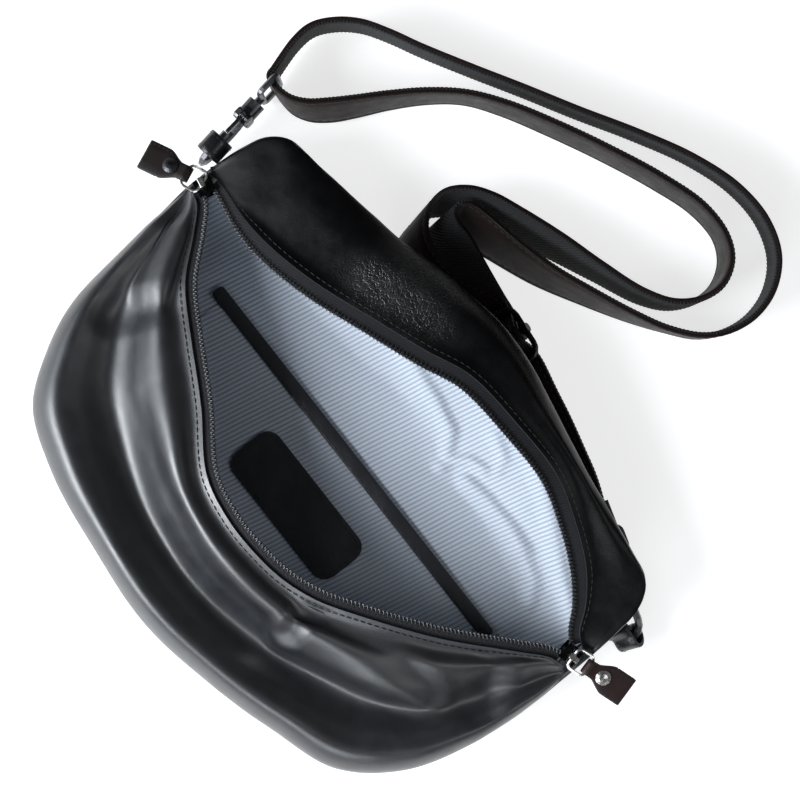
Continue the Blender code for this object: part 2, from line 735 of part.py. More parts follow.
def make_pocket():
    """The slip pocket on the back wall: its cloth, the bound top edge and the bare leather patch."""
    cloth_low = LEATHER + 2 * GAP + LINING + GAP
    cloth_y = POCKET_TOP_Y - POCKET_DEPTH / 2
    laid_plate(
        "pocket_panel", (POCKET_CENTRE_X, cloth_y), POCKET_HALF_LENGTH, POCKET_DEPTH / 2, PATCH_CORNER,
        cloth_low, POCKET_CLOTH, lining_cloth(),
    )
    low = cloth_low + POCKET_CLOTH + GAP
    laid_plate(
        "pocket_binding", (POCKET_CENTRE_X, POCKET_TOP_Y), POCKET_HALF_LENGTH, BINDING_WIDTH / 2,
        BINDING_WIDTH / 6, low, BINDING, black_leather(),
    )
    laid_plate(
        "pocket_patch", (POCKET_CENTRE_X, PATCH_Y), PATCH_LENGTH / 2, PATCH_WIDTH / 2, PATCH_CORNER,
        low, PATCH, black_leather(),
    )


def slider_frame(side):
    """The frame of a zip slider: X into the mouth along its path, Z up from the tape."""
    x = side * (MOUTH_HALF - SLIDER_INSET)
    front = FRONT_LIP_SHARES[-1 if side > 0 else 0][1] * FRONT_REACH
    back = BACK_LIP_SHARES[-1 if side > 0 else 0][1] * BACK_REACH
    run = Vector((-side, PATH_LEAN_SHARE, END_SLOPE)).normalized()
    up = Vector((END_SLOPE * side, 0, 1))
    up = (up - run * up.dot(run)).normalized()
    return basis(Vector((x, (front + back) / 2, lip_height(x))), run, up.cross(run), up)


SLIDER_UNDER = -TAPE / 2 - SLIDER_PLAY
SLIDER_OVER = TAPE / 2 + GAP + COIL_HEIGHT + SLIDER_PLAY
PULL_HEIGHT = SLIDER_OVER + SLIDER_PLATE + (BRIDGE_HEIGHT - BRIDGE_WALL) / 2
PULL_BACK = -SLIDER_LENGTH / 10


def make_slider(side_name, side):
    """A slider: two plates, the post between them and the bridge that holds the pull ring."""
    frame = slider_frame(side)
    metal = nickel()
    over = block(
        f"{side_name}_slider", (SLIDER_LENGTH, SLIDER_WIDTH, SLIDER_PLATE),
        frame @ Matrix.Translation((0, 0, SLIDER_OVER + SLIDER_PLATE / 2)), metal, SLIDER_PLATE / 4,
    )
    under = block(
        f"{side_name}_slider_under", (SLIDER_LENGTH, SLIDER_WIDTH, SLIDER_PLATE),
        frame @ Matrix.Translation((0, 0, SLIDER_UNDER - SLIDER_PLATE / 2)), metal, SLIDER_PLATE / 4,
    )
    reach = SLIDER_OVER - SLIDER_UNDER + SLIDER_PLATE
    post = block(
        f"{side_name}_slider_post", (SLIDER_POST_LENGTH, SLIDER_POST_WIDTH, reach),
        frame @ Matrix.Translation((
            SLIDER_LENGTH / 2 - SLIDER_POST_LENGTH / 2 - SLIDER_PLAY, 0, (SLIDER_OVER + SLIDER_UNDER) / 2,
        )), metal,
    )
    sunk = SLIDER_PLATE / 2
    arch = block(
        f"{side_name}_slider_bridge", (BRIDGE_LENGTH, BRIDGE_WIDTH, BRIDGE_HEIGHT + sunk),
        frame @ Matrix.Translation((
            PULL_BACK, 0, SLIDER_OVER + SLIDER_PLATE + (BRIDGE_HEIGHT - sunk) / 2,
        )), metal, BRIDGE_WALL / 2,
    )
    tunnel = block(
        f"{side_name}_slider_tunnel",
        (BRIDGE_LENGTH - 2 * BRIDGE_WALL, BRIDGE_WIDTH * 2, BRIDGE_HEIGHT - BRIDGE_WALL),
        frame @ Matrix.Translation((PULL_BACK, 0, PULL_HEIGHT)), metal,
    )
    boolean(arch, tunnel, "DIFFERENCE")
    boolean(over, under, "UNION")
    boolean(over, post, "UNION")
    boolean(over, arch, "UNION")


def pull_frame(side, yaw):
    """The frame of a pull: origin on the ring's near bar, X outwards along the pull."""
    frame = slider_frame(side) @ Matrix.Translation((PULL_BACK, 0, PULL_HEIGHT))
    return frame @ Matrix.Rotation(pi + yaw, 4, "Z") @ Matrix.Rotation(-PULL_PITCH, 4, "Y")


def make_pull(side_name, side, yaw, turn):
    """The wire ring under the slider's bridge, and the leather tab and rivet that hang on it."""
    frame = pull_frame(side, yaw)
    ring = [
        frame @ Vector((RING_LENGTH / 2 + x, y, 0))
        for x, y in rounded_loop(RING_LENGTH / 2, RING_HALF_WIDTH, RING_CORNER, 3)
    ]
    wire(f"{side_name}_pull_ring", ring, RING_WIRE, nickel(), closed=True, resolution=1)
    data = bpy.data.curves.new("tab_outline", "CURVE")
    data.dimensions = "2D"
    data.fill_mode = "BOTH"
    data.extrude = 0.5
    round_end = TAB_BORE + TAB_THICK / 2
    outer = [
        (round_end * cos(a), round_end * sin(a)) for a in (radians(50 + 260 * k / 10) for k in range(11))
    ]
    outer += [(TAB_LENGTH, -TAB_THICK / 2), (TAB_LENGTH, TAB_THICK / 2)]
    outer.insert(11, (round_end * 1.8, -TAB_THICK / 2))
    outer.append((round_end * 1.8, TAB_THICK / 2))
    bore = [(TAB_BORE * cos(a), TAB_BORE * sin(a)) for a in (2 * pi * k / 10 for k in range(10))]
    for loop in (outer, bore):
        spline = data.splines.new("POLY")
        spline.points.add(len(loop) - 1)
        spline.use_cyclic_u = True
        for point, (x, y) in zip(spline.points, loop):
            point.co = (x, y, 0, 1)
    curve = bpy.data.objects.new("tab_curve", data)
    parts.objects.link(curve)
    bpy.context.view_layer.update()
    mesh = bpy.data.meshes.new_from_object(curve.evaluated_get(bpy.context.evaluated_depsgraph_get()))
    bpy.data.objects.remove(curve, do_unlink=True)
    build = bmesh.new()
    build.from_mesh(mesh)
    bmesh.ops.remove_doubles(build, verts=build.verts, dist=TAB_BORE / 100)
    bpy.data.meshes.remove(mesh)
    for vert in build.verts:
        along = max(0.0, vert.co.x) / TAB_LENGTH
        width = TAB_NECK_WIDTH + (TAB_END_WIDTH - TAB_NECK_WIDTH) * smoothstep(0.1, 0.55, along)
        vert.co = Vector((vert.co.x, vert.co.z * width, vert.co.y))
    tab_place = frame @ Matrix.Translation((RING_LENGTH, 0, 0)) @ Matrix.Rotation(turn, 4, "Z")
    bmesh.ops.transform(build, matrix=tab_place, verts=build.verts)
    tab = add(mesh_of(build, f"{side_name}_pull_tab"), f"{side_name}_pull_tab", brown_black_leather())
    hole = cylinder(
        f"{side_name}_tab_hole", RIVET_SHANK + GAP, TAB_THICK * 2,
        tab_place @ Matrix.Translation((RIVET_PLACE, 0, 0)), nickel(), 12,
    )
    boolean(tab, hole, "DIFFERENCE")
    top = TAB_THICK / 2 + GAP
    profile = [
        (0, top + RIVET_DOME), (RIVET_HEAD * 0.55, top + RIVET_DOME * 0.8), (RIVET_HEAD, top + RIVET_DOME * 0.25),
        (RIVET_HEAD, top), (RIVET_SHANK, top), (RIVET_SHANK, -top), (RIVET_HEAD * 0.8, -top),
        (RIVET_HEAD * 0.8, -top - RIVET_DOME / 2), (0, -top - RIVET_DOME / 2),
    ]
    turned(
        f"{side_name}_pull_rivet", profile, tab_place @ Matrix.Translation((RIVET_PLACE, 0, 0)), nickel(), 16
    )


def turned(name, profile, place, finish, steps):
    """A profile turned round local Z with a Screw modifier and placed by a matrix."""
    mesh = bpy.data.meshes.new(name)
    mesh.from_pydata([(x, 0, z) for x, z in profile], [(i, i + 1) for i in range(len(profile) - 1)], [])
    thing = add(mesh, name, finish)
    thing.matrix_world = place
    screw = thing.modifiers.new("turn", "SCREW")
    screw.angle = 2 * pi
    screw.steps = steps
    screw.render_steps = steps
    screw.use_merge_vertices = True
    screw.merge_threshold = 0.00001
    return thing


# Snap hooks

def left_hook_frame():
    """The left hook lies level with its claw upright: X up through the claw, Z along it to the eye."""
    along = Vector((cos(LEFT_HEADING), sin(LEFT_HEADING), 0))
    wide = Vector((0, 0, 1))
    centre = Vector(LEFT_LOOP) - wide * (CLAW_HALF - LOOP_LIFT) - along * LOOP_ALONG
    return basis(centre, wide, along.cross(wide), along)


def right_hook_frame():
    """The right hook lies under the bag's corner, leaning with the strap."""
    along = Vector((cos(RIGHT_HEADING), sin(RIGHT_HEADING), RIGHT_SLOPE)).normalized()
    across = Vector((0, 0, 1)).cross(along).normalized()
    if across.y < 0:
        across = -across
    wide = across * cos(RIGHT_LEAN) + Vector((0, 0, 1)) * sin(RIGHT_LEAN)
    wide = (wide - along * wide.dot(along)).normalized()
    sag = CLAW_HALF - sqrt(CLAW_HALF**2 - (LOOP_WIDTH / 2) ** 2)
    centre = Vector(RIGHT_LOOP) - along * (CLAW_WIRE + sag / 2)
    return basis(centre, wide, along.cross(wide), along)


def make_hook(side_name, frame):
    """A swivel snap hook: claw and barrel, gate with its pin and spring, and the strap eye."""
    metal = gunmetal()
    bend = CLAW_WIRE + CLAW_HALF
    claw = [(-CLAW_HALF * 0.45, BARREL_START + CLAW_WIRE), (-CLAW_HALF * 0.85, BARREL_START - CLAW_WIRE)]
    claw += [(-CLAW_HALF, BARREL_START - 3 * CLAW_WIRE)]
    claw += [(-CLAW_HALF * cos(pi * k / 8), bend - CLAW_HALF * sin(pi * k / 8)) for k in range(9)]
    claw += [(CLAW_HALF, NOSE_REACH)]
    body = wire(f"{side_name}_hook_body", [frame @ Vector((w, 0, a)) for w, a in claw], CLAW_WIRE, metal)
    barrel = cylinder(
        f"{side_name}_hook_barrel", BARREL_RADIUS, BARREL_END - BARREL_START,
        frame @ Matrix.Translation((0, 0, (BARREL_END + BARREL_START) / 2)), metal, 20,
    )
    crossbar = block(
        f"{side_name}_hook_crossbar", (CROSSBAR_WIDTH, CROSSBAR_DEPTH, CROSSBAR_LENGTH),
        frame @ Matrix.Translation((0, 0, GATE_PIVOT_A)), metal, CROSSBAR_DEPTH / 6,
    )
    slot_depth = GATE_THICK / 2 + GAP
    spring_room = (SPRING_PITCH_SHARE * SPRING_TURNS + 2) * SPRING_WIRE + 2 * GAP
    slot_width = CROSSBAR_WIDTH / 2 - BARREL_RADIUS + PROUD + GAP
    slot = block(
        f"{side_name}_hook_slot", (slot_width, 2 * slot_depth + spring_room, 2 * CROSSBAR_LENGTH),
        frame @ Matrix.Translation((BARREL_RADIUS - GAP + slot_width / 2, spring_room / 2, GATE_PIVOT_A)), metal,
    )
    bore = cylinder(
        f"{side_name}_hook_bore", SHANK_RADIUS + SHANK_PLAY, BARREL_END - BARREL_START + 2 * PROUD,
        frame @ Matrix.Translation((0, 0, (BARREL_END + BARREL_START) / 2)), metal, 16,
    )
    seat_length = HEAD_SEAT - BARREL_START + PROUD
    seat = cylinder(
        f"{side_name}_hook_seat", SHANK_HEAD_RADIUS + SHANK_PLAY, seat_length,
        frame @ Matrix.Translation((0, 0, HEAD_SEAT - seat_length / 2)), metal, 16,
    )
    across = Matrix.Rotation(pi / 2, 4, "X")
    pivot = frame @ Matrix.Translation((GATE_PIVOT_W, 0, GATE_PIVOT_A))
    pin_hole = cylinder(
        f"{side_name}_hook_pin_hole", GATE_PIN + GAP, CROSSBAR_DEPTH + 2 * PROUD, pivot @ across, metal, 10
    )
    boolean(body, barrel, "UNION")
    boolean(body, crossbar, "UNION")
    boolean(body, slot, "DIFFERENCE")
    boolean(body, bore, "DIFFERENCE")
    boolean(body, seat, "DIFFERENCE")
    boolean(body, pin_hole, "DIFFERENCE")

    cylinder(f"{side_name}_hook_pin", GATE_PIN, CROSSBAR_DEPTH, pivot @ across, metal, 10)

    hub = cylinder(f"{side_name}_hook_gate", GATE_HUB, GATE_THICK, pivot @ across, metal, 14)
    tip = Vector((CLAW_HALF, 0, NOSE_REACH + GAP))
    root = Vector((GATE_PIVOT_W, 0, GATE_PIVOT_A))
    middle = (tip + root) / 2
    lean = asin((tip - root).x / (tip - root).length)
    arm = block(
        f"{side_name}_hook_gate_arm", (GATE_WIDTH, GATE_ARM, (tip - root).length),
        frame @ Matrix.Translation(middle) @ Matrix.Rotation(-lean, 4, "Y"), metal, GATE_ARM / 6,
    )
    nose_plane = block(
        f"{side_name}_hook_gate_trim", (CLAW_HALF * 2, GATE_THICK * 4, CLAW_WIRE * 2),
        frame @ Matrix.Translation((CLAW_HALF, 0, NOSE_REACH + GAP - CLAW_WIRE)), metal,
    )
    gate_hole = cylinder(
        f"{side_name}_hook_gate_hole", GATE_PIN + GAP, 2 * GATE_THICK, pivot @ across, metal, 10
    )
    boolean(hub, arm, "UNION")
    boolean(hub, nose_plane, "DIFFERENCE")
    boolean(hub, gate_hole, "DIFFERENCE")

    turns = []
    for k in range(8 * SPRING_TURNS + 1):
        angle = 2 * pi * k / 8
        rise = GATE_THICK / 2 + GAP + SPRING_WIRE + k / 8 * SPRING_PITCH_SHARE * SPRING_WIRE
        turns.append(pivot @ Vector((SPRING_RADIUS * cos(angle), rise, SPRING_RADIUS * sin(angle))))
    wire(f"{side_name}_hook_spring", turns, SPRING_WIRE, metal, resolution=0)

    half = EYE_INNER_WIDTH / 2 + EYE_WIRE
    length = EYE_END - EYE_START
    loop = [
        frame @ Vector((w, 0, (EYE_END + EYE_START) / 2 + a))
        for a, w in rounded_loop(length / 2, half, EYE_CORNER, 4)
    ]
    eye = wire(f"{side_name}_hook_eye", loop, EYE_WIRE, metal, closed=True, resolution=1)
    shank_start = HEAD_SEAT - SHANK_HEAD - GAP
    shank = cylinder(
        f"{side_name}_hook_shank", SHANK_RADIUS, EYE_START - shank_start,
        frame @ Matrix.Translation((0, 0, (EYE_START + shank_start) / 2)), metal, 12,
    )
    head = cylinder(
        f"{side_name}_hook_head", SHANK_HEAD_RADIUS, SHANK_HEAD,
        frame @ Matrix.Translation((0, 0, shank_start + SHANK_HEAD / 2)), metal, 12,
    )
    boolean(eye, shank, "UNION")
    boolean(eye, head, "UNION")


def make_loop(name, centre, wide, seam_point):
    """A leather strip folded into a loop: its bore runs along the wide direction, its root meets the seam."""
    out = Vector(centre) - Vector(seam_point)
    out = (out - wide * out.dot(wide))
    far = out.length
    out.normalize()
    up = wide.cross(out)
    radius = LOOP_BORE + LOOP_STRAP / 2
    opening = asin(min(0.9, (LOOP_STRAP / 2 + GAP) / radius))
    path = [(-far + LOOP_ROOT_GAP, LOOP_STRAP / 2 + GAP / 2), (-radius * 1.15, LOOP_STRAP / 2 + GAP / 2 + radius / 6)]
    first, last = radians(132), radians(-132)
    path += [(radius * cos(first + (last - first) * k / 12), radius * sin(first + (last - first) * k / 12)) for k in range(13)]
    path += [(-radius * 1.15, -LOOP_STRAP / 2 - GAP / 2 - radius / 6), (-far + LOOP_ROOT_GAP, -LOOP_STRAP / 2 - GAP / 2)]
    rings = []
    for i, (a, b) in enumerate(path):
        before = path[max(i - 1, 0)]
        after = path[min(i + 1, len(path) - 1)]
        run = Vector((after[0] - before[0], after[1] - before[1])).normalized()
        side = Vector((-run.y, run.x)) * LOOP_STRAP / 2
        ring = []
        along_seam = Vector((0, 1, 0))
        spread = along_seam.lerp(wide, smoothstep(-far, -radius, a)).normalized()
        for w, s in ((-1, -1), (1, -1), (1, 1), (-1, 1)):
            place = Vector((a, b)) + side * s
            ring.append(Vector(centre) + out * place.x + up * place.y + spread * (w * LOOP_WIDTH / 2))
        rings.append(ring)
    return loft(name, rings, black_leather())


# Strap

def buckle_frame():
    """The buckle lies in the strap: X across the strap, Y off its face, Z along it."""
    along = Vector((*BUCKLE_ALONG, 0)).normalized()
    across = Vector((0, 0, 1)).cross(along)
    wide = across * cos(BUCKLE_LEAN) + Vector((0, 0, 1)) * sin(BUCKLE_LEAN)
    off = along.cross(wide)
    return basis(Vector(BUCKLE_CENTRE), wide, off, along)


def lean_of(wide):
    return (wide.x / wide.z, wide.y / wide.z)


STRAP_THICK = STRAP_LEATHER + STRAP_WEBBING + GAP
UNDER_FRAME = -(BUCKLE_WIRE + 2 * GAP + STRAP_THICK / 2)
UNDER_STRAP = UNDER_FRAME - STRAP_THICK - GAP
WRAP_RADIUS = BUCKLE_WIRE + GAP + STRAP_THICK / 2
OVER_BAR = -BUCKLE_BAR_DROP + WRAP_RADIUS + STRAP_THICK + GAP


def strap_rows():
    """The strap's centre line with its width direction: from the buckle's bar to the left hook and back."""
    frame = buckle_frame()
    wide = frame.to_3x3() @ Vector((1, 0, 0))
    lean = lean_of(wide)

    def at_buckle(along, off):
        return (*(frame @ Vector((0, off, along))), *lean)

    side_bar = BUCKLE_LENGTH / 2
    rows = [
        at_buckle(-side_bar * 0.35, -BUCKLE_BAR_DROP - GAP), at_buckle(-side_bar * 0.28, -BUCKLE_BAR_DROP * 0.45)
    ]
    for k in range(10):
        angle = radians(125 - 225 * k / 9)
        rows.append(at_buckle(WRAP_RADIUS * cos(angle), -BUCKLE_BAR_DROP + WRAP_RADIUS * sin(angle)))
    rows += [at_buckle(-side_bar * 0.60, UNDER_STRAP * 0.92), at_buckle(-side_bar, UNDER_STRAP)]
    rows += [at_buckle(-side_bar * 1.35, UNDER_STRAP)]
    rows += list(STRAP_OUT)
    rows += eye_turn(left_hook_frame(), -100, 10)
    rows += list(STRAP_BACK)
    climb = OVER_BAR - UNDER_FRAME
    rows += [at_buckle(-side_bar * 1.35, UNDER_FRAME)]
    hump = [(1.0, 0.0), (0.82, 0.05), (0.57, 0.41), (0.36, 0.78), (0.16, 0.99)]
    rows += [at_buckle(-side_bar * far, UNDER_FRAME + climb * share) for far, share in hump]
    rows += [at_buckle(side_bar * far, UNDER_FRAME + climb * share) for far, share in hump[::-1]]
    rows += [at_buckle(side_bar * 1.35, UNDER_FRAME)]
    rows += list(STRAP_TAIL)
    rows += eye_turn(right_hook_frame(), -100, 95)
    rows += end_flap(right_hook_frame())
    return rows


def eye_turn(frame, first, last):
    """The turn of the strap round the outer bar of a hook's eye, between two angles in degrees."""
    radius = EYE_WIRE + GAP + STRAP_THICK / 2
    rows = []
    lean = lean_of(frame.to_3x3() @ Vector((1, 0, 0)))
    for k in range(9):
        angle = radians(first + (last - first) * k / 8)
        place = Vector((0, radius * sin(angle), EYE_END - radius * cos(angle)))
        rows.append((*(frame @ place), *lean))
    return rows


def end_flap(frame):
    """The strap's end, laid back on itself behind a hook's eye."""
    radius = EYE_WIRE + GAP + STRAP_THICK / 2
    lean = lean_of(frame.to_3x3() @ Vector((1, 0, 0)))
    return [(*(frame @ Vector((0, radius, EYE_END + run))), *lean) for run in (0.006, 0.014)]


def ribbon(name, rows, offset, thick, finish):
    """A flat band along rows of places and leans, set off its centre line by a distance."""
    dense = smooth_path(rows, STRAP_STEPS)
    spaced = [dense[0]]
    heading = Vector(dense[1][:3]) - Vector(dense[0][:3])
    last = 0
    for i in range(1, STRAP_STEPS - 1):
        run = Vector(dense[i + 1][:3]) - Vector(dense[i][:3])
        if run.angle(heading) > STRAP_TURN or i - last >= STRAP_STRIDE:
            spaced.append(dense[i])
            heading = run
            last = i
    spaced.append(dense[-1])
    count = len(spaced)
    places = [Vector(row[:3]) for row in spaced]
    rings = []
    for i, row in enumerate(spaced):
        run = (places[min(i + 1, count - 1)] - places[max(i - 1, 0)]).normalized()
        wide = Vector((row[3], row[4], 1)).normalized() * STRAP_WIDTH / 2
        off = run.cross(wide).normalized()
        lowest = places[i].z - wide.z - abs(off.z) * STRAP_THICK / 2
        place = places[i] + Vector((0, 0, max(0.0, GAP - lowest)))
        low = place + off * (offset - thick / 2)
        high = place + off * (offset + thick / 2)
        rings.append([low - wide, low + wide, high + wide, high - wide])
    return loft(name, rings, finish, band=True)


def make_strap():
    """The strap's leather face and webbing back, and the slide buckle."""
    rows = strap_rows()
    ribbon("strap_leather", rows, (STRAP_THICK - STRAP_LEATHER) / 2, STRAP_LEATHER, black_leather())
    ribbon("strap_webbing", rows, -(STRAP_THICK - STRAP_WEBBING) / 2, STRAP_WEBBING, black_webbing())
    frame = buckle_frame()
    metal = gunmetal()
    half = STRAP_WIDTH / 2 + 3 * GAP + BUCKLE_WIRE
    loop = [frame @ Vector((w, 0, a)) for a, w in rounded_loop(BUCKLE_LENGTH / 2, half, BUCKLE_CORNER, 4)]
    buckle = wire("strap_buckle", loop, BUCKLE_WIRE, metal, closed=True, resolution=1)
    turn = Matrix.Rotation(pi / 2, 4, "Y")
    bar = cylinder(
        "strap_buckle_bar", BUCKLE_WIRE, 2 * half, frame @ Matrix.Translation((0, -BUCKLE_BAR_DROP, 0)) @ turn,
        metal, 12,
    )
    boolean(buckle, bar, "UNION")
    for end in (-1, 1):
        collar = cylinder(
            f"strap_buckle_collar_{end}", BUCKLE_COLLAR, 2 * BUCKLE_WIRE,
            frame @ Matrix.Translation((end * half, -BUCKLE_BAR_DROP / 2, 0)) @ turn, metal, 12,
        )
        boolean(buckle, collar, "UNION")


def seam_point(x_sign, y):
    """A point on the seam at one end of the bag."""
    _, fold = outline()
    path = smooth_path(fold, 120)
    near = [p for p in path if p[0] * x_sign > HALF_LENGTH / 2]
    x, y = min(near, key=lambda p: abs(p[1] - y))
    return Vector((x, y, seam_height(y)))


def make_ends():
    """Loops, hooks, sliders and pulls at both ends of the zip."""
    left = left_hook_frame()
    along = left.to_3x3() @ Vector((0, 0, 1))
    make_loop("left_end_loop", LEFT_LOOP, along, seam_point(-1, LEFT_LOOP[1]))
    right = right_hook_frame()
    wide = right.to_3x3() @ Vector((1, 0, 0))
    make_loop("right_end_loop", RIGHT_LOOP, wide, seam_point(1, RIGHT_LOOP[1]))
    make_hook("left", left)
    make_hook("right", right)
    pulls = (("left", -1, LEFT_PULL_YAW, LEFT_TAB_TURN), ("right", 1, RIGHT_PULL_YAW, RIGHT_TAB_TURN))
    for side_name, side, yaw, turn in pulls:
        make_slider(side_name, side)
        make_pull(side_name, side, yaw, turn)


def main():
    clear_scene()
    make_body()
    make_pocket()
    make_ends()
    make_strap()


main()
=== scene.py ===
from collections import namedtuple
from math import cos, pi, radians, sin, sqrt

import bmesh
import bpy
import numpy as np
from mathutils import Matrix, Vector, noise


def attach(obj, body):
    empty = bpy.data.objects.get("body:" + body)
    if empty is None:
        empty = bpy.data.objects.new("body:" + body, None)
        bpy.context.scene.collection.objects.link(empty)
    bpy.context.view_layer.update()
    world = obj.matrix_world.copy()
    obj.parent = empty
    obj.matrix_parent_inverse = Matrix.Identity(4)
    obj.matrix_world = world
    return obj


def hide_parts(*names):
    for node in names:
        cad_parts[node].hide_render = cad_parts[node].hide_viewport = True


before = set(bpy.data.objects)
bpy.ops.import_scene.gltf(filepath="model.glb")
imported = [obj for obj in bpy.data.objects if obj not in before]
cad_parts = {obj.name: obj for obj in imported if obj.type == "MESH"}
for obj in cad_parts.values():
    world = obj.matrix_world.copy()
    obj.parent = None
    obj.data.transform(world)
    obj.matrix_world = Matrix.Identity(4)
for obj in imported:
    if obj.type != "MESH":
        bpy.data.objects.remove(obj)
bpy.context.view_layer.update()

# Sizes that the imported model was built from, in metres
HALF_LENGTH = 0.156
BOTTOM_REACH = 0.158
FOLD_REACH = 0.076
SEAM_RISE = 0.020
FOLD_RISE = 0.040
BELLY_HEIGHT = 0.060
BELLY_DISH = 0.017
BELLY_BULGE = 0.0025
INNER_RIDGE = 0.004
LEATHER = 0.0016
LINING = 0.0006
GAP = 0.0003
SEAM_GAP = 0.0017
SEAM_CLIMB = 0.0024
LINING_MARGIN = 0.006
MOUTH_HALF = 0.151
FRONT_REACH = 0.0955
BACK_REACH = 0.0506
MOUTH_DEPTH_END = 0.0245
MOUTH_HEIGHT = 0.060
LIP_HEM = 0.006
TAPE = 0.0007
TAPE_UNTUCKED = 0.0005
TAPE_SHOWN = 0.0050
COIL_WIDTH = 0.0030
COIL_HEIGHT = 0.0015
POCKET_HALF_LENGTH = 0.106
POCKET_CENTRE_X = 0.0055
POCKET_TOP_Y = -0.0275
BINDING_CENTRE_X = 0.0062
BINDING_HALF_LENGTH = 0.1128
BINDING_Y = -0.0293
POCKET_DEPTH = 0.066
POCKET_CLOTH = 0.0005
BINDING_WIDTH = 0.0075
BINDING = 0.0014
PATCH_LENGTH = 0.081
PATCH_WIDTH = 0.030
PATCH = 0.0012
PATCH_CORNER = 0.008
PATCH_Y = -0.0655
LOOP_WIDTH = 0.0115
LOOP_STRAP = 0.0018
LOOP_BORE = 0.0044
LOOP_ROOT_GAP = 0.0042
LOOP_ALONG = 0.0120
LOOP_LIFT = 0.0006
SLIDER_LENGTH = 0.0096
SLIDER_PLATE = 0.0010
SLIDER_PLAY = 0.0004
SLIDER_INSET = 0.0030
BRIDGE_HEIGHT = 0.0034
BRIDGE_WALL = 0.0010
RING_LENGTH = 0.0100
TAB_LENGTH = 0.0235
TAB_END_WIDTH = 0.0160
TAB_NECK_WIDTH = 0.0078
TAB_THICK = 0.0030
TAB_BORE = 0.0014
PATH_LEAN_SHARE = -0.18
LEFT_PULL_YAW = radians(30)
RIGHT_PULL_YAW = radians(8)
LEFT_TAB_TURN = radians(5)
RIGHT_TAB_TURN = radians(0)
PULL_PITCH = radians(8)
CLAW_WIRE = 0.0020
CLAW_HALF = 0.0088
EYE_WIRE = 0.0017
EYE_END = 0.0585
STRAP_WIDTH = 0.030
STRAP_LEATHER = 0.0014
STRAP_WEBBING = 0.0013
BUCKLE_WIRE = 0.0016
BUCKLE_LENGTH = 0.0280
BUCKLE_BAR_DROP = 0.0020
BACK_CENTRE_SHARE = -0.32
FLAT_SHARE = 0.84
FLAT_SHARE_AT_FOLD = 0.52
BACK_CURVE_POWER = 1.3

# The soft tape shows wider than the solids have it away from the sliders
FRONT_TAPE_EXTRA = 0.0004
BACK_TAPE_EXTRA = 0.0028

# Finer steps than the solids have
LIP_FINE = 260
FRONT_FINE = 64
TOP_FINE = 36
STRAP_FINE = 5200

# Sizes that only the visual has, in metres
TAPE_THREAD_LIFT = 0.00005
STRAP_THREAD_LIFT = 0.0001
HIDE_ROUND = 0.00045
TRIM_ROUND = 0.0004
BINDING_SWELL = 0.0004
LIP_SEAM = 0.0026
COIL_PITCH = 0.0021
COIL_WIRE = 0.00042
PATCH_SEAM = 0.0022
BINDING_SEAM = 0.0014
BINDING_SEAM_END = 0.002
BINDING_THREAD_LIFT = 0.0002
TAB_SEAM = 0.0016
TAB_SLIT = 0.0001
LOOP_SEAM = 0.0017
RIB_PITCH = 0.0021
RIB_DEPTH = 0.00022
RIB_SLANT = 0.0012
WELT_HALF_WIDTH = 0.0012
WELT_HALF_HEIGHT = 0.0015
SLIDER_OVER = TAPE / 2 + GAP + COIL_HEIGHT + SLIDER_PLAY

# Stitches: the length of each, the space to the next and the thread's radius, in metres
LEATHER_THREAD = (0.0027, 0.0009, 0.00026)
TAPE_THREAD = (0.0020, 0.0008, 0.00018)
STRAP_THREAD = (0.0030, 0.0010, 0.00028)
TAB_THREAD = (0.0016, 0.0007, 0.0002)
LOOP_THREAD = (0.0020, 0.0008, 0.0002)
STITCH_SHARES = (0.0, 0.18, 0.5, 0.82, 1.0)
STITCH_SIDES = 6

# Wrinkles to a metre
BROAD_SCALE = 24
MIDDLE_SCALE = 62
SMALL_SCALE = 130

# Shares of a length, and steps
STRAP_SEAM = 0.845
LINING_RIM_SHARE = 0.965
MIDDLE_SHARE = 0.02
BOWL_SPREAD = 1.03
CURVE_STEPS = 16
TAPE_TRIM = 3
SEWN_TRIM = 8
LINING_ENDS = round(LIP_FINE * 4 / 45)
COIL_STEPS = 10
CORD_STEPS = 60

# Materials: sizes in metres, cells to a metre, and colours from 0 to 255
PEBBLE_SCALE = 1250.0
CRUMPLE_WARP = 0.005
CRUMPLE_STRETCH = (1.0, 0.55, 1.0)
STRIPE_PITCH = 0.00225
STRIPE_WANDER = 0.0012
STRIPE_LEAN = -0.2
# A slider's plates are painted this dark as shade under its bridge
SLIDER_PAINTED_SHADE = (38, 38, 41)
SLIDER_BRIGHT = (196, 192, 186), (228, 226, 222)

# Outlines from the left end to the right, as shares of half the length and of a reach
BOTTOM_SHARES = [
    (-0.985, -0.055), (-0.953, -0.318), (-0.91, -0.555), (-0.831, -0.712), (-0.722, -0.844),
    (-0.533, -0.916), (-0.268, -0.958), (0.03, -0.979), (0.294, -0.939), (0.539, -0.875), (0.755, -0.803),
    (0.901, -0.641), (0.976, -0.422), (1.003, -0.2), (1.0, -0.06),
]
FOLD_SHARES = [
    (-0.985, 0.085), (-0.972, 0.3), (-0.948, 0.49), (-0.899, 0.597), (-0.749, 0.649), (-0.418, 0.761),
    (-0.198, 0.871), (0.0, 0.935), (0.15, 0.918), (0.295, 0.861), (0.546, 0.774), (0.776, 0.705),
    (0.912, 0.645), (0.962, 0.51), (0.985, 0.3), (0.997, 0.085),
]
FRONT_LIP_SHARES = [
    (-1.0, -0.0806), (-0.95, -0.1), (-0.88, -0.2), (-0.76, -0.4), (-0.6, -0.55), (-0.48, -0.65),
    (-0.397, -0.725), (-0.22, -0.905), (-0.07, -0.955), (0.07, -0.955), (0.199, -0.925), (0.32, -0.855),
    (0.43, -0.75), (0.66, -0.5), (0.87, -0.215), (0.945, -0.115), (1.0, -0.087),
]
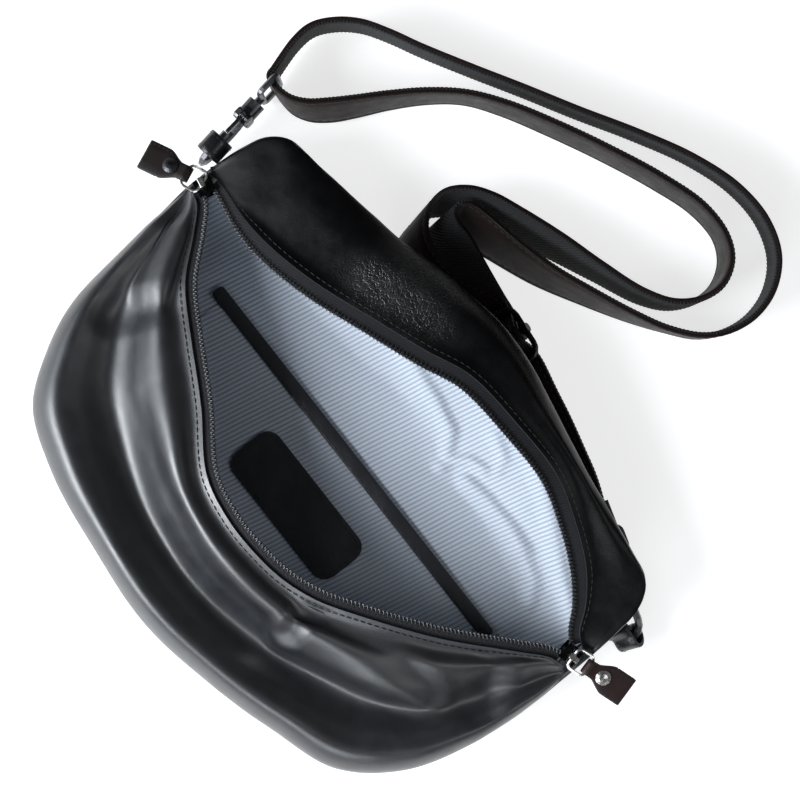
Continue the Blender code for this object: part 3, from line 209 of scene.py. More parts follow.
BACK_LIP_SHARES = [
    (-1.0, 0.097), (-0.95, 0.118), (-0.8, 0.09), (-0.66, 0.13), (-0.48, 0.255), (-0.295, 0.455),
    (-0.105, 0.665), (0.05, 0.86), (0.265, 0.925), (0.47, 0.93), (0.63, 0.805), (0.78, 0.61), (0.88, 0.38),
    (0.945, 0.16), (1.0, 0.085),
]
# How far in across the front panel, how far up to its ridge, and shares of the dish and of the inner ridge
BELLY_SHARES = [
    (-0.02, 0.3, 0.0, 0.0), (0.01, 0.66, 0.0, 0.0), (0.13, 0.95, 0.0, 0.0), (0.27, 0.98, 0.35, 0.0),
    (0.48, 0.97, 1.0, 0.0), (0.7, 0.98, 0.35, 0.0), (0.88, 1.0, 0.0, 1.0),
]

# The strap's centre line on the floor, in millimetres: x, y, height, and how its width leans in x and y
FLAT_LAY = (15.4, 0.0, 0.0)
STRAP_OUT = [
    (-32.8, 73.5, 8.8, 0, 1.9), (-47.5, 76.8, 10.8, 0, 1.3), (-56.5, 78.3, 12.8, 0, 0.9),
    (-61.3, 80.8, 13.3, 0, 0.8), (-63, 85.2, 13.3, 0, 0.8), (-60.8, 89.6, 13.3, 0, 0.8),
    (-55.5, 92, 13.3, 0, 0.8), (-48.5, 93.8, 13.4, 0, 0.78), (-34.2, 97.8, 14.2, 0, 0.6),
    (-9.3, 106.1, 15, 0, 0.4), (11.9, 116, 15.4, 0, 0.25), (35, 128, 15.6, 0, 0.1), (51, 138), (64, 149),
    (70.5, 160.7), (72.5, 175.1), (68.2, 190.1), (56.5, 203.1), (38.4, 209.6), (16.5, 208.8), (-8.9, 200.4),
    (-36.4, 185.9), (-62.2, 170.4), (-89.2, 154.9, 15.6), (-112.5, 141, 16.2), (-136.9, 126.9, 17.2),
    (-151.2, 119.4, 18), (-164.2, 111, 19), (-173, 101, 20), (-178, 90, 20.6), (-177.5, 79, 21),
]
STRAP_BACK = [
    (-161.5, 57.7, 21, -0.04, 0.03), (-154.5, 59.2, 20.8, -0.1, 0.08), (-147.5, 64, 20.4, -0.15, 0.12),
    (-141, 72.5, 19.8, -0.18, 0.14), (-134.5, 84, 19, -0.15, 0.12), (-127, 98.5, 18, -0.1, 0.08),
    (-116.6, 115.5, 17, -0.06, 0.05), (-104.1, 130.5, 16.2, -0.02, 0.06), (-88, 142.5, 15.7, 0, 0.1),
    (-64, 156, 15.5, 0, 0.12), (-37.9, 169, 15.4, 0, 0.12), (-10.3, 181, 15.4, 0, 0.12),
    (13.4, 188.5, 15.4, 0.02, 0.1), (31.8, 188.5, 15.4, 0.04, 0.06), (43.4, 182.5, 15.4, 0.05, 0.06),
    (50, 171.4, 15.4, 0.04, 0.05), (49.5, 159.4, 15.4, 0, 0.05), (43, 147.5, 15.4, -0.06, 0.06),
    (30.1, 138, 15.4, -0.12, 0.1), (6.8, 128.5, 15.4, -0.12, 0.2), (-17.7, 119.2, 15.2, -0.1, 0.38),
    (-41, 109.5, 14.4, -0.06, 0.54), (-55.8, 102.3, 13.6, -0.06, 0.66), (-65.5, 94.5, 13, -0.1, 0.7),
    (-71.2, 84.5, 13, -0.1, 0.7), (-69.5, 71.2, 12.2, -0.1, 0.9), (-62.3, 62, 10.8, 0, 1.2),
    (-49, 58.2, 9.6, 0, 1.5), (-34, 60, 9.3, 0, 1.8), (-23.5, 64.5, 10.3, 0.1, 2),
]
STRAP_TAIL = [
    (39, 62, 10, 0.25, 2.1), (54, 59, 9.6, 0.3, 2), (70, 55, 11, 0.4, 1.85), (85, 50.8, 14.2, 0.48, 1.72),
]
# Half lengths of the buckle from its bar, and shares of the climb over it
STRAP_HUMP = [(1.35, 0.0), (1.0, 0.0), (0.82, 0.05), (0.57, 0.41), (0.36, 0.78), (0.16, 0.99)]
STRAP_FLAP = (0.006, 0.014)
BUCKLE_CENTRE = (0.0050, 0.0655, 0.0148)
BUCKLE_ALONG = (0.995, -0.100)
BUCKLE_LEAN = radians(25)
LEFT_LOOP = (-0.1615, 0.0150, 0.0292)
LEFT_HEADING = radians(99)
RIGHT_LOOP = (0.1625, 0.0262, 0.0130)
RIGHT_HEADING = radians(163)
RIGHT_LEAN = radians(30)

# Sections, as shares of the half width and of the thickness
LEATHER_SECTION = [
    (-1.0, -0.15), (-0.985, -0.5), (-0.5, -0.5), (0.0, -0.5), (0.5, -0.5), (0.985, -0.5), (1.0, -0.15),
    (0.995, 0.3), (0.965, 0.5), (0.9, 0.46), (0.845, 0.3), (0.79, 0.46), (0.5, 0.5), (0.0, 0.5),
    (-0.5, 0.5), (-0.79, 0.46), (-0.845, 0.3), (-0.9, 0.46), (-0.965, 0.5), (-0.995, 0.3),
]
WEBBING_SECTION = [
    (-0.985, 0.5), (-1.0, 0.15), (-0.99, -0.25), (-0.95, -0.5), (-0.6, -0.5), (-0.3, -0.5), (0.0, -0.5),
    (0.3, -0.5), (0.6, -0.5), (0.95, -0.5), (0.99, -0.25), (1.0, 0.15), (0.985, 0.5), (0.5, 0.5),
    (0.0, 0.5), (-0.5, 0.5),
]
STRIP_SECTION = [
    (-1.0, 0.0), (-0.98, -0.38), (-0.93, -0.5), (-0.4, -0.5), (0.4, -0.5), (0.93, -0.5), (0.98, -0.38),
    (1.0, 0.0), (0.98, 0.38), (0.93, 0.5), (0.4, 0.5), (-0.4, 0.5), (-0.93, 0.5), (-0.98, 0.38),
]
# The columns of faces along a strip's cut edges
STRIP_EDGES = (0, 1, 6, 7, 8, 13)


# Camera

UP = Vector((0, 0, 1))
VIEW_RIGHT = Vector((0.618, 0.786, 0)).normalized()
VIEW_UP = Vector((-0.786, 0.618, 0)).normalized()
VIEW_CENTRE = (-0.0041, 0.0096)
VIEW_HEIGHT = 1.100
MM_PER_PIXEL = 0.514
PIXELS = 800
SENSOR = 36.0


def basis(origin, x_axis, y_axis, z_axis):
    """The matrix of a frame from its origin and axes."""
    made = Matrix((x_axis, y_axis, z_axis)).transposed().to_4x4()
    made.translation = origin
    return made


def link(name, data):
    """A new object in the scene."""
    made = bpy.data.objects.new(name, data)
    bpy.context.scene.collection.objects.link(made)
    return made


def place_camera():
    data = bpy.data.cameras.new("camera")
    data.sensor_width = SENSOR
    data.lens = SENSOR * VIEW_HEIGHT * 1000 / (MM_PER_PIXEL * PIXELS)
    data.clip_start = 0.01
    camera = link("camera", data)
    camera.matrix_world = basis(Vector((*VIEW_CENTRE, VIEW_HEIGHT)), VIEW_RIGHT, VIEW_UP, UP)
    bpy.context.scene.camera = camera


def at_pixel(px, py, z=0.0):
    """The place at a height that a pixel of the photograph's frame shows."""
    scale = MM_PER_PIXEL / 1000 * (VIEW_HEIGHT - z) / VIEW_HEIGHT
    middle = PIXELS / 2
    return Vector((*VIEW_CENTRE, z)) + VIEW_RIGHT * scale * (px - middle) - VIEW_UP * scale * (py - middle)


# Materials

def linear(colour):
    """A colour from 0 to 255 as the shader's linear one."""
    made = []
    for value in colour:
        v = value / 255
        made.append(v / 12.92 if v <= 0.04045 else ((v + 0.055) / 1.055) ** 2.4)
    return (*made, 1.0)


def is_socket(source):
    return hasattr(source, "is_output")


def new_node(tree, kind, links=(), **settings):
    """A node with its settings, each of its sockets fed by another one or given a value."""
    node = tree.nodes.new(kind)
    for key, value in settings.items():
        setattr(node, key, value)
    for name, source in dict(links).items():
        if is_socket(source):
            tree.links.new(source, node.inputs[name])
        else:
            node.inputs[name].default_value = source
    return node


class Nodes:
    """Short names for building a material's node tree."""

    def __init__(self, name):
        self.material = bpy.data.materials.new(name)
        self.material.use_nodes = True
        self.tree = self.material.node_tree
        self.place = self.new("ShaderNodeTexCoord").outputs["Object"]

    def new(self, kind, links=(), **settings):
        return new_node(self.tree, kind, links, **settings)

    def noise(self, scale, detail=4.0, rough=0.55):
        links = {"Vector": self.place, "Scale": scale, "Detail": detail, "Roughness": rough}
        return self.new("ShaderNodeTexNoise", links).outputs["Fac"]

    def cells(self, scale, edge, place=None):
        """0 on the lines between cells and 1 inside them."""
        links = {"Vector": place or self.place, "Scale": scale, "Randomness": 1.0}
        lines = self.new("ShaderNodeTexVoronoi", links, feature="DISTANCE_TO_EDGE")
        return self.span(lines.outputs["Distance"], 0.0, edge, smooth=True)

    def vectors(self, operation, a, b, c=(0.0, 0.0, 0.0)):
        return self.new("ShaderNodeVectorMath", {0: a, 1: b, 2: c}, operation=operation).outputs

    def maths(self, operation, a, b=0.0, c=0.0):
        return self.new("ShaderNodeMath", {0: a, 1: b, 2: c}, operation=operation).outputs[0]

    def span(self, source, low, high, to_low=0.0, to_high=1.0, smooth=False):
        links = {"Value": source, "From Min": low, "From Max": high, "To Min": to_low, "To Max": to_high}
        kind = "SMOOTHSTEP" if smooth else "LINEAR"
        return self.new("ShaderNodeMapRange", links, interpolation_type=kind).outputs["Result"]

    def mix(self, share, a, b):
        """A colour between two, each of them a socket or a colour from 0 to 255."""
        a, b = (c if is_socket(c) else linear(c) for c in (a, b))
        return self.new("ShaderNodeMix", {0: share, 6: a, 7: b}, data_type="RGBA").outputs[2]

    def rubbed(self, low, high, base, worn):
        """A worn colour where the surface's edges stand out."""
        edges = self.new("ShaderNodeNewGeometry").outputs["Pointiness"]
        return self.mix(self.span(edges, low, high, smooth=True), base, worn)

    def bump(self, height, depth, after=None):
        """A bump of a depth in metres, on top of another one."""
        links = {"Height": height, "Distance": depth, "Strength": 1.0}
        if after is not None:
            links["Normal"] = after
        return self.new("ShaderNodeBump", links).outputs["Normal"]

    def finish(self, **sockets):
        shader = self.tree.nodes["Principled BSDF"]
        for name, source in sockets.items():
            socket = shader.inputs[name.replace("_", " ")]
            if is_socket(source):
                self.tree.links.new(source, socket)
            else:
                socket.default_value = source
        return self.material


def leather(name, colour, worn, gloss, grain, creases, specular=0.30, crumple=None, coat=0.0):
    """Hide with pebbled grain, soft creases, rubbed edges, a clear finish, and crumples round a place."""
    n = Nodes(name)
    level = n.bump(n.noise(180.0, 5.0, 0.6), creases * 1.6)
    if crumple is not None:
        centre, reach, depth = crumple
        warp = n.new("ShaderNodeTexNoise", {"Vector": n.place, "Scale": 90.0, "Detail": 3.0})
        bend = n.vectors("MULTIPLY_ADD", warp.outputs["Color"], (CRUMPLE_WARP,) * 3, n.place)
        stretched = n.new("ShaderNodeMapping", {"Vector": bend[0], "Scale": CRUMPLE_STRETCH})
        hair = n.cells(640.0, 0.16, stretched.outputs[0])
        away = n.vectors("DISTANCE", n.place, centre)["Value"]
        away = n.maths("MULTIPLY_ADD", n.noise(45.0, 2.0), 0.02, away)
        near = n.span(away, reach * 0.45, reach, 1.0, 0.0, True)
        level = n.bump(n.maths("MULTIPLY", hair, near), depth, level)
        specular = n.span(near, 0.0, 1.0, specular * 0.45, specular * 1.6)
        level = n.bump(n.maths("MULTIPLY", n.noise(170.0, 5.0, 0.65), near), depth * 5.0, level)
    level = n.bump(n.cells(PEBBLE_SCALE, 0.30), grain, level)
    shade = n.span(n.noise(40.0, 3.0), 0.3, 0.7, 0.0, 0.35)
    return n.finish(
        Base_Color=n.rubbed(0.53, 0.62, n.mix(shade, colour, worn), worn),
        Roughness=n.span(n.noise(95.0, 6.0, 0.65), 0.3, 0.7, gloss - 0.06, gloss + 0.09),
        Normal=level, Specular_IOR_Level=specular, Coat_Weight=coat, Coat_Roughness=gloss,
    )


def specked(name, dark, light, specks, edges, depth, rough, specular):
    """A dark finish whose raised specks are lighter, and duller where a span of roughness is given."""
    n = Nodes(name)
    height = n.noise(*specks)
    if isinstance(rough, tuple):
        rough = n.span(height, 0.3, 0.7, *rough)
    return n.finish(
        Base_Color=n.mix(n.span(height, *edges), dark, light), Roughness=rough,
        Normal=n.bump(height, depth), Specular_IOR_Level=specular,
    )


def lining_cloth(name, pale, dark, lean):
    """Twill lining woven with narrow stripes that run up the bag."""
    n = Nodes(name)
    axes = n.new("ShaderNodeSeparateXYZ", {"Vector": n.place}).outputs
    across = n.maths("MULTIPLY_ADD", axes["Y"], lean, axes["X"])
    wander = n.maths("MULTIPLY_ADD", n.noise(30.0, 2.0), STRIPE_WANDER, across)
    turn = n.maths("FRACT", n.maths("DIVIDE", wander, STRIPE_PITCH))
    line = n.span(n.maths("ABSOLUTE", n.maths("SUBTRACT", turn, 0.5)), 0.06, 0.36, 1.0, 0.0, True)
    thread = n.noise(2600.0, 3.0, 0.6)
    tone = n.mix(n.span(thread, 0.35, 0.65), pale, [0.90 * v for v in pale])
    tone = n.mix(n.span(n.noise(26.0, 3.0), 0.35, 0.65, 0.0, 0.5), tone, [0.93 * v for v in pale])
    level = n.bump(line, -0.00012, n.bump(n.noise(220.0, 3.0), 0.00025))
    return n.finish(
        Base_Color=n.mix(n.maths("MULTIPLY", line, 0.85), tone, dark),
        Normal=n.bump(thread, 0.00006, level), Roughness=0.82, Sheen_Weight=0.15, Sheen_Roughness=0.5,
        Specular_IOR_Level=0.25,
    )


def woven(name, dark, light, pitch, depth, rough, specular):
    """A close black weave whose threads run at a slant, for tape and webbing."""
    n = Nodes(name)
    axes = n.new("ShaderNodeSeparateXYZ", {"Vector": n.new("ShaderNodeUVMap").outputs[0]}).outputs
    along = n.maths("DIVIDE", axes["X"], pitch)
    across = n.maths("DIVIDE", axes["Y"], pitch * 1.6)
    twill = n.maths("SINE", n.maths("MULTIPLY", n.maths("ADD", along, across), 2 * pi))
    slant = n.maths("SUBTRACT", across, n.maths("MULTIPLY", along, 0.5))
    weave = n.maths("MULTIPLY_ADD", n.maths("SINE", n.maths("MULTIPLY", slant, 4 * pi)), 0.4, twill)
    fuzz = n.noise(3000.0, 3.0, 0.7)
    share = n.span(n.maths("MULTIPLY_ADD", fuzz, 1.2, weave), -0.8, 1.8)
    return n.finish(
        Base_Color=n.mix(share, dark, light), Normal=n.bump(fuzz, depth * 0.5, n.bump(weave, depth)),
        Roughness=rough, Specular_IOR_Level=specular, Sheen_Weight=0.05,
    )


def metal(name, colour, worn, gloss, slider=None):
    """Brushed, plated metal with worn edges, or a slider's: bright metal over plates painted dark as shade
    under its bridge.
    """
    n = Nodes(name)
    haze = n.noise(450.0, 5.0, 0.65)
    base = n.mix(n.span(haze, 0.35, 0.7, 0.0, 0.6), colour, worn)
    if slider is None:
        base = n.rubbed(0.52, 0.60, base, worn)
    else:
        # Below the top plate's upper face the slider is painted dark as shade
        up = slider.to_3x3() @ UP
        start = slider.translation.dot(up) + SLIDER_OVER + SLIDER_PLATE * 1.05
        height = n.vectors("DOT_PRODUCT", n.place, tuple(up))["Value"]
        bright = n.span(height, start, start + SLIDER_PLATE * 0.3, smooth=True)
        base = n.mix(bright, SLIDER_PAINTED_SHADE, base)
    return n.finish(
        Base_Color=base, Metallic=1.0, Roughness=n.span(haze, 0.3, 0.7, gloss - 0.05, gloss + 0.10),
        Normal=n.bump(haze, 0.00002),
    )


# A finish with the record's slot that it belongs to
Look = namedtuple("Look", "finish slot")


def hide(name, *values, slot="black_leather", **settings):
    return Look(leather(name, *values, **settings), slot)


BLACK = hide("black_leather", (13, 15, 19), (30, 34, 43), 0.42, 0.000024, 0.00006, 1.0, coat=0.7)
# The top panel: the front's black leather painted darker as shade, crinkled round one place
CRINKLED_PAINTED_SHADE = hide(
    "crinkled_leather_painted_shade", (4, 4, 5), (9, 9, 11), 0.34, 0.000020, 0.00005, 0.40,
    (tuple(at_pixel(400, 306, 0.050)), 0.056, 0.00010),
)
STRAP_BLACK = hide("strap_leather", (13, 9, 8), (40, 22, 18), 0.48, 0.00004, 0.00008, 0.15)
LOOP_BLACK = hide("loop_leather", (12, 12, 16), (26, 26, 32), 0.28, 0.00002, 0.00008, 0.6)
TAB_BROWN = hide("tab_leather", (32, 18, 16), (50, 30, 27), 0.46, 0.00003, 0.00006, slot="tab_leather")
# The left pull tab: the same brown leather, painted darker as shade
TAB_PAINTED_SHADE = hide("tab_leather_painted_shade", (21, 14, 13), (36, 25, 23), 0.46, 0.00003, 0.00006, slot="tab_leather")
BINDING_BLACK = hide("binding_leather", (17, 19, 25), (36, 39, 48), 0.40, 0.00005, 0.00022, 0.60)
CLOTH = Look(lining_cloth("lining", (211, 218, 228), (144, 155, 173), STRIPE_LEAN), "lining")
TAPE_CLOTH = Look(woven("zip_tape", (20, 20, 22), (52, 52, 56), 0.0009, 0.00008, 0.78, 0.25), "zip_tape")
WEBBING = Look(woven("webbing", (9, 9, 10), (30, 30, 33), 0.0016, 0.00014, 0.7, 0.22), "webbing")
NYLON = Look(specked(
    "zip_nylon", (22, 22, 25), (66, 67, 72), (900.0, 4.0, 0.6), (0.4, 0.7), 0.00003, (0.24, 0.42), 0.9,
), "zip_nylon")
EDGE = specked(
    "cut_edge", (20, 20, 22), (62, 62, 66), (1400.0, 5.0, 0.7), (0.35, 0.7), 0.00012, (0.45, 0.75), 0.35,
)
THREAD = specked("thread", (9, 9, 11), (40, 41, 46), (3500.0, 2.0, 0.5), (0.3, 0.7), 0.00005, 0.55, 0.4)
NICKEL = metal("nickel", (200, 196, 190), (228, 226, 222), 0.22)
GUNMETAL = metal("gunmetal", (62, 62, 66), (110, 110, 114), 0.34)
# Black metal for the buckle, and painted shade on the left pull's nickel rivet
BLACK_METAL_AND_RIVET_SHADE = metal("black_metal", (34, 34, 37), (70, 70, 74), 0.38)


# Mesh tools

def smoothstep(low, high, value):
    t = min(1.0, max(0.0, (value - low) / (high - low)))
    return t * t * (3 - 2 * t)


def distances(points):
    """How far along a line each of its points lies."""
    places = np.array([tuple(p)[:3] for p in points], float)
    return np.r_[0, np.cumsum(np.linalg.norm(np.diff(places, axis=0), axis=1))]


def smooth_path(points, count, closed=False):
    """Rows spaced evenly along a smooth curve through the given ones: a place and what goes with it."""
    rows = np.array([tuple(p) for p in points], float)
    if closed:
        rows = np.vstack([rows[-1:], rows, rows[:2]])
    else:
        rows = np.vstack([2 * rows[:1] - rows[1:2], rows, 2 * rows[-1:] - rows[-2:-1]])
    fine = []
    for a, b, c, d in zip(rows, rows[1:], rows[2:], rows[3:]):
        before, across, after = (
            max(sqrt(np.linalg.norm((q - p)[:3])), 1e-6) for p, q in ((a, b), (b, c), (c, d))
        )
        leave = (c - b) + across * ((b - a) / before - (c - a) / (before + across))
        arrive = (c - b) + across * ((d - c) / after - (d - b) / (across + after))
        for step in range(CURVE_STEPS):
            t = step / CURVE_STEPS
            fine.append(
                b * (1 - t) ** 2 * (1 + 2 * t) + c * t**2 * (3 - 2 * t)
                + leave * t * (1 - t) ** 2 - arrive * t**2 * (1 - t)
            )
    fine = np.array([*fine, c])
    along = distances(fine)
    wanted = along[-1] * np.arange(count) / (count if closed else count - 1)
    made = np.stack([np.interp(wanted, along, column) for column in fine.T], axis=1)
    return [tuple(row) for row in made.tolist()]


def circle(sides):
    """The turns of a ring's corners."""
    return [2 * pi * s / sides for s in range(sides)]


def piece_from(
    name, verts, faces, look, node=None, body="bag", uvs=None, sharp=50.0, edge_faces=(), outwards=False,
):
    """A mesh as a piece that rides on a body, in place of a node where it has one."""
    mesh = bpy.data.meshes.new(name)
    mesh.from_pydata([tuple(v) for v in verts], [], faces)
    mesh.materials.append(look.finish)
    if edge_faces:
        mesh.materials.append(EDGE)
        for index in edge_faces:
            mesh.polygons[index].material_index = 1
    if uvs is not None:
        layer = mesh.uv_layers.new(name="UVMap")
        for loop in mesh.loops:
            layer.data[loop.index].uv = uvs[loop.vertex_index]
    mesh.shade_smooth()
    mesh.set_sharp_from_angle(angle=radians(sharp))
    if outwards:
        build = bmesh.new()
        build.from_mesh(mesh)
        bmesh.ops.recalc_face_normals(build, faces=build.faces)
        build.to_mesh(mesh)
        build.free()
    made = link(name, mesh)
    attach(made, body)
    if node:
        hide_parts(node)
    return made


def grid_faces(rows, columns, closed_rows=False, closed_columns=False):
    faces = []
    for r in range(rows if closed_rows else rows - 1):
        s = (r + 1) % rows
        for c in range(columns if closed_columns else columns - 1):
            d = (c + 1) % columns
            faces.append((r * columns + c, r * columns + d, s * columns + d, s * columns + c))
    return faces


def both_sides(outer, inner, closed=False):
    """The places and faces of two grids that lie back to back."""
    rows, columns = outer.shape[:2]
    faces = grid_faces(rows, columns, False, closed)
    back = [tuple(rows * columns + i for i in reversed(face)) for face in faces]
    return np.vstack([outer.reshape(-1, 3), inner.reshape(-1, 3)]), faces + back


def grid_normals(grid):
    """Unit normals of a grid of points, on the side that its faces look to."""
    made = np.cross(np.gradient(grid, axis=1), np.gradient(grid, axis=0))
    return made / np.maximum(np.linalg.norm(made, axis=2, keepdims=True), 1e-12)


def shell(name, grid, thick, look, node, rounded=0.0, rim_edge=False):
    """A grid of outer points made a skin of a thickness that lies behind it, with a rounded rim."""
    rows, columns = grid.shape[:2]
    verts, faces = both_sides(grid, grid - grid_normals(grid) * thick)
    count = rows * columns
    rim = [*range(columns)]
    rim += [r * columns + columns - 1 for r in range(1, rows)]
    rim += [(rows - 1) * columns + c for c in range(columns - 2, -1, -1)]
    rim += [r * columns for r in range(rows - 2, 0, -1)]
    sides = [(b, a, count + a, count + b) for a, b in zip(rim, rim[1:] + rim[:1])]
    along, down = distances(grid[rows // 2]), distances(grid[:, columns // 2])
    flat = [(along[c], down[r]) for r in range(rows) for c in range(columns)]
    edge_faces = range(len(faces), len(faces) + len(sides)) if rim_edge else ()
    made = piece_from(name, verts, faces + sides, look, node, uvs=flat + flat, edge_faces=edge_faces)
    if rounded:
        bevel = made.modifiers.new("rim", "BEVEL")
        bevel.width = rounded
        bevel.segments = 3
        bevel.limit_method = "ANGLE"
        bevel.angle_limit = radians(55)
        bevel.harden_normals = False
    return made


def sweep(name, rings, look, node=None, closed=False, edge_columns=(), outwards=True, **settings):
    """A closed skin through rings of points, capped at its ends unless it closes on itself."""
    count = len(rings[0])
    faces = grid_faces(len(rings), count, closed, True)
    edges = [i for i in range(len(faces)) if i % count in edge_columns]
    if not closed:
        faces += [tuple(reversed(range(count))), tuple((len(rings) - 1) * count + i for i in range(count))]
        if edge_columns:
            edges += [len(faces) - 1, len(faces) - 2]
    verts = [p for ring in rings for p in ring]
    return piece_from(name, verts, faces, look, node, edge_faces=edges, outwards=outwards, **settings)


def stitches(name, line, ups, slot="black_leather", thread=LEATHER_THREAD, body="bag"):
    """Stitches along a line of places, each a little rope that dips into the leather at its ends."""
    length, space, radius = thread
    along = distances(line)
    columns = np.array([(*place, *up) for place, up in zip(line, ups)], float).T
    count = max(1, int(along[-1] / (length + space)))
    pitch = along[-1] / count
    verts = []
    faces = []
    for k in range(count):
        base = len(verts)
        centres = []
        for share in STITCH_SHARES:
            at = k * pitch + space / 2 + share * (pitch - space)
            spot = [np.interp(at, along, column) for column in columns]
            centres.append((Vector(spot[:3]), Vector(spot[3:]).normalized()))
        run = (centres[-1][0] - centres[0][0]).normalized()
        for share, (centre, up) in zip(STITCH_SHARES, centres):
            side = run.cross(up).normalized()
            fat = radius * (0.55 + 0.45 * sin(pi * share))
            sunk = centre + up * radius * (sin(pi * share) - 0.45)
            for turn in circle(STITCH_SIDES):
                verts.append(sunk + side * fat * cos(turn) + up * fat * sin(turn))
        for r in range(len(STITCH_SHARES) - 1):
            for s in range(STITCH_SIDES):
                t = (s + 1) % STITCH_SIDES
                a = base + r * STITCH_SIDES
                faces.append((a + s, a + STITCH_SIDES + s, a + STITCH_SIDES + t, a + t))
        faces.append(tuple(range(base, base + STITCH_SIDES)))
        faces.append(tuple(reversed(range(len(verts) - STITCH_SIDES, len(verts)))))
    return piece_from(name, verts, faces, Look(THREAD, slot), body=body, sharp=80.0)


def tube(name, centres, radius, sides, look, node):
    """A round wire through centres, whose rings turn as little as they can."""
    rings = []
    side = None
    for i, centre in enumerate(centres):
        run = (centres[min(i + 1, len(centres) - 1)] - centres[max(i - 1, 0)]).normalized()
        if side is None:
            side = run.orthogonal().normalized()
        side = (side - run * side.dot(run)).normalized()
        other = run.cross(side)
        rings.append([centre + (side * cos(turn) + other * sin(turn)) * radius for turn in circle(sides)])
    return sweep(name, rings, look, node, sharp=80.0, outwards=False)


def crease(x, y, line, width):
    """Closeness of a place to a drawn line, 1 on it and 0 well away."""
    best = 1.0
    for (ax, ay), (bx, by) in zip(line, line[1:]):
        dx, dy = bx - ax, by - ay
        t = min(1.0, max(0.0, ((x - ax) * dx + (y - ay) * dy) / (dx * dx + dy * dy)))
        best = min(best, sqrt((x - ax - t * dx) ** 2 + (y - ay - t * dy) ** 2) / width)
    return (1 - best * best) ** 2


def pixel_line(points, z):
    return [tuple(at_pixel(px, py, z))[:2] for px, py in points]


# Shape of the leather body, as in the solids but finer

FRONT_LIP = (FRONT_LIP_SHARES, FRONT_REACH, -1)
BACK_LIP = (BACK_LIP_SHARES, BACK_REACH, 1)
END_SLOPE = (MOUTH_HEIGHT - MOUTH_DEPTH_END) * pi / 2 / MOUTH_HALF
LEATHER_LIFT = TAPE / 2 + GAP + LEATHER
LINING_CENTRE = TAPE / 2 + GAP + LINING / 2

# Drawn folds: points along each in the photograph's frame, its height or depth, and its reach
FRONT_FOLDS = [(pixel_line(points, BELLY_HEIGHT), height, reach) for points, height, reach in (
    ([(149, 322), (144, 352), (144, 385), (160, 425), (180, 470), (205, 510), (240, 556), (270, 601),
      (286, 637)], 0.0014, 0.012),
    ([(286, 637), (326, 657), (376, 682), (434, 704)], 0.0042, 0.015),
    ([(291, 630), (303, 617), (322, 608)], -0.0034, 0.009),
    ([(302, 598), (345, 630), (398, 664), (436, 696)], -0.0022, 0.010),
    ([(162, 232), (155, 256), (148, 282)], 0.0030, 0.017),
    ([(104, 314), (146, 306), (178, 300)], -0.0018, 0.013),
    ([(500, 662), (494, 690), (486, 722)], -0.0017, 0.015),
    ([(514, 664), (516, 688), (512, 712)], 0.0012, 0.012),
)]
# The lining's folds, which also say how high over the floor they are seen
INSIDE_FOLDS = [(pixel_line(points, z), height, reach) for points, z, height, reach in (
    ([(414, 350), (430, 400), (447, 447), (482, 469), (520, 500)], 0.004, 0.0016, 0.016),
    ([(407, 355), (435, 400), (450, 430), (447, 455)], 0.010, 0.0046, 0.0070),
    ([(442, 466), (452, 460), (470, 460), (485, 470)], 0.008, 0.0042, 0.0055),
    ([(495, 436), (503, 458), (497, 474)], 0.012, 0.0030, 0.0050),
    ([(467, 482), (486, 500), (506, 524), (522, 550)], 0.008, 0.0046, 0.0075),
    ([(526, 560), (534, 580), (530, 604)], 0.010, 0.0030, 0.0050),
    ([(538, 470), (553, 530), (563, 580), (573, 624)], 0.020, 0.0044, 0.0070),
)]


def outline():
    bottom = [(x * HALF_LENGTH, y * BOTTOM_REACH) for x, y in BOTTOM_SHARES]
    fold = [(x * HALF_LENGTH, y * FOLD_REACH) for x, y in FOLD_SHARES]
    return bottom, fold


def seam_height(y):
    return SEAM_RISE + (FOLD_RISE - SEAM_RISE) * max(0.0, y / FOLD_REACH)


def lip_height(x):
    share = max(0.0, 1 - abs(x) / MOUTH_HALF)
    return MOUTH_DEPTH_END + (MOUTH_HEIGHT - MOUTH_DEPTH_END) * sin(share * pi / 2)


def lip_frames(shares, reach, side):
    """Along one leather edge of the mouth: the point, the run, the way up and the way into the mouth."""
    path = smooth_path([(x * MOUTH_HALF, y * reach) for x, y in shares], LIP_FINE)
    points = [Vector((x, y, lip_height(x))) for x, y in path]
    near = round(LIP_FINE / 90)
    frames = []
    for i, point in enumerate(points):
        run = (points[min(i + near, LIP_FINE - 1)] - points[max(i - near, 0)]).normalized()
        from_end = (MOUTH_HALF - abs(point.x)) / MOUTH_HALF
        end_up = Vector((END_SLOPE * (1 if point.x > 0 else -1), 0, 1)).normalized()
        mid_up = Vector((0, side * 0.25, 1)).normalized()
        up = end_up.lerp(mid_up, smoothstep(0.3, 0.6, from_end))
        up = (up - run * up.dot(run)).normalized()
        into = up.cross(run) * -side
        if into.y * side > 0:
            into = -into
        frames.append((point, run, up, into))
    return frames


def hem_at(share):
    return LIP_HEM * (0.25 + 0.75 * smoothstep(0.0, 0.2, min(share, 1 - share)))


def panel_rows(seam, lip):
    """At each step along a panel: how far it swells, its seam, the level way in, its hem and its edge."""
    for i, ((x, y), (point, _, up, into)) in enumerate(zip(smooth_path(seam, LIP_FINE), lip_frames(*lip))):
        share = i / (LIP_FINE - 1)
        start = Vector((x, y, seam_height(y) + SEAM_GAP))
        end = point + up * LEATHER_LIFT
        inner = end - into * hem_at(share)
        away = inner - start
        away.z = 0
        yield sin(pi * share) ** 0.8, start, away, inner, end


def panel_grid(rows, fine):
    """A panel's points: from the seam, then along a smooth curve through each row's places."""
    return np.array([
        [tuple(start), *(tuple(Vector(p)) for p in smooth_path(profile, fine))] for start, profile in rows
    ])


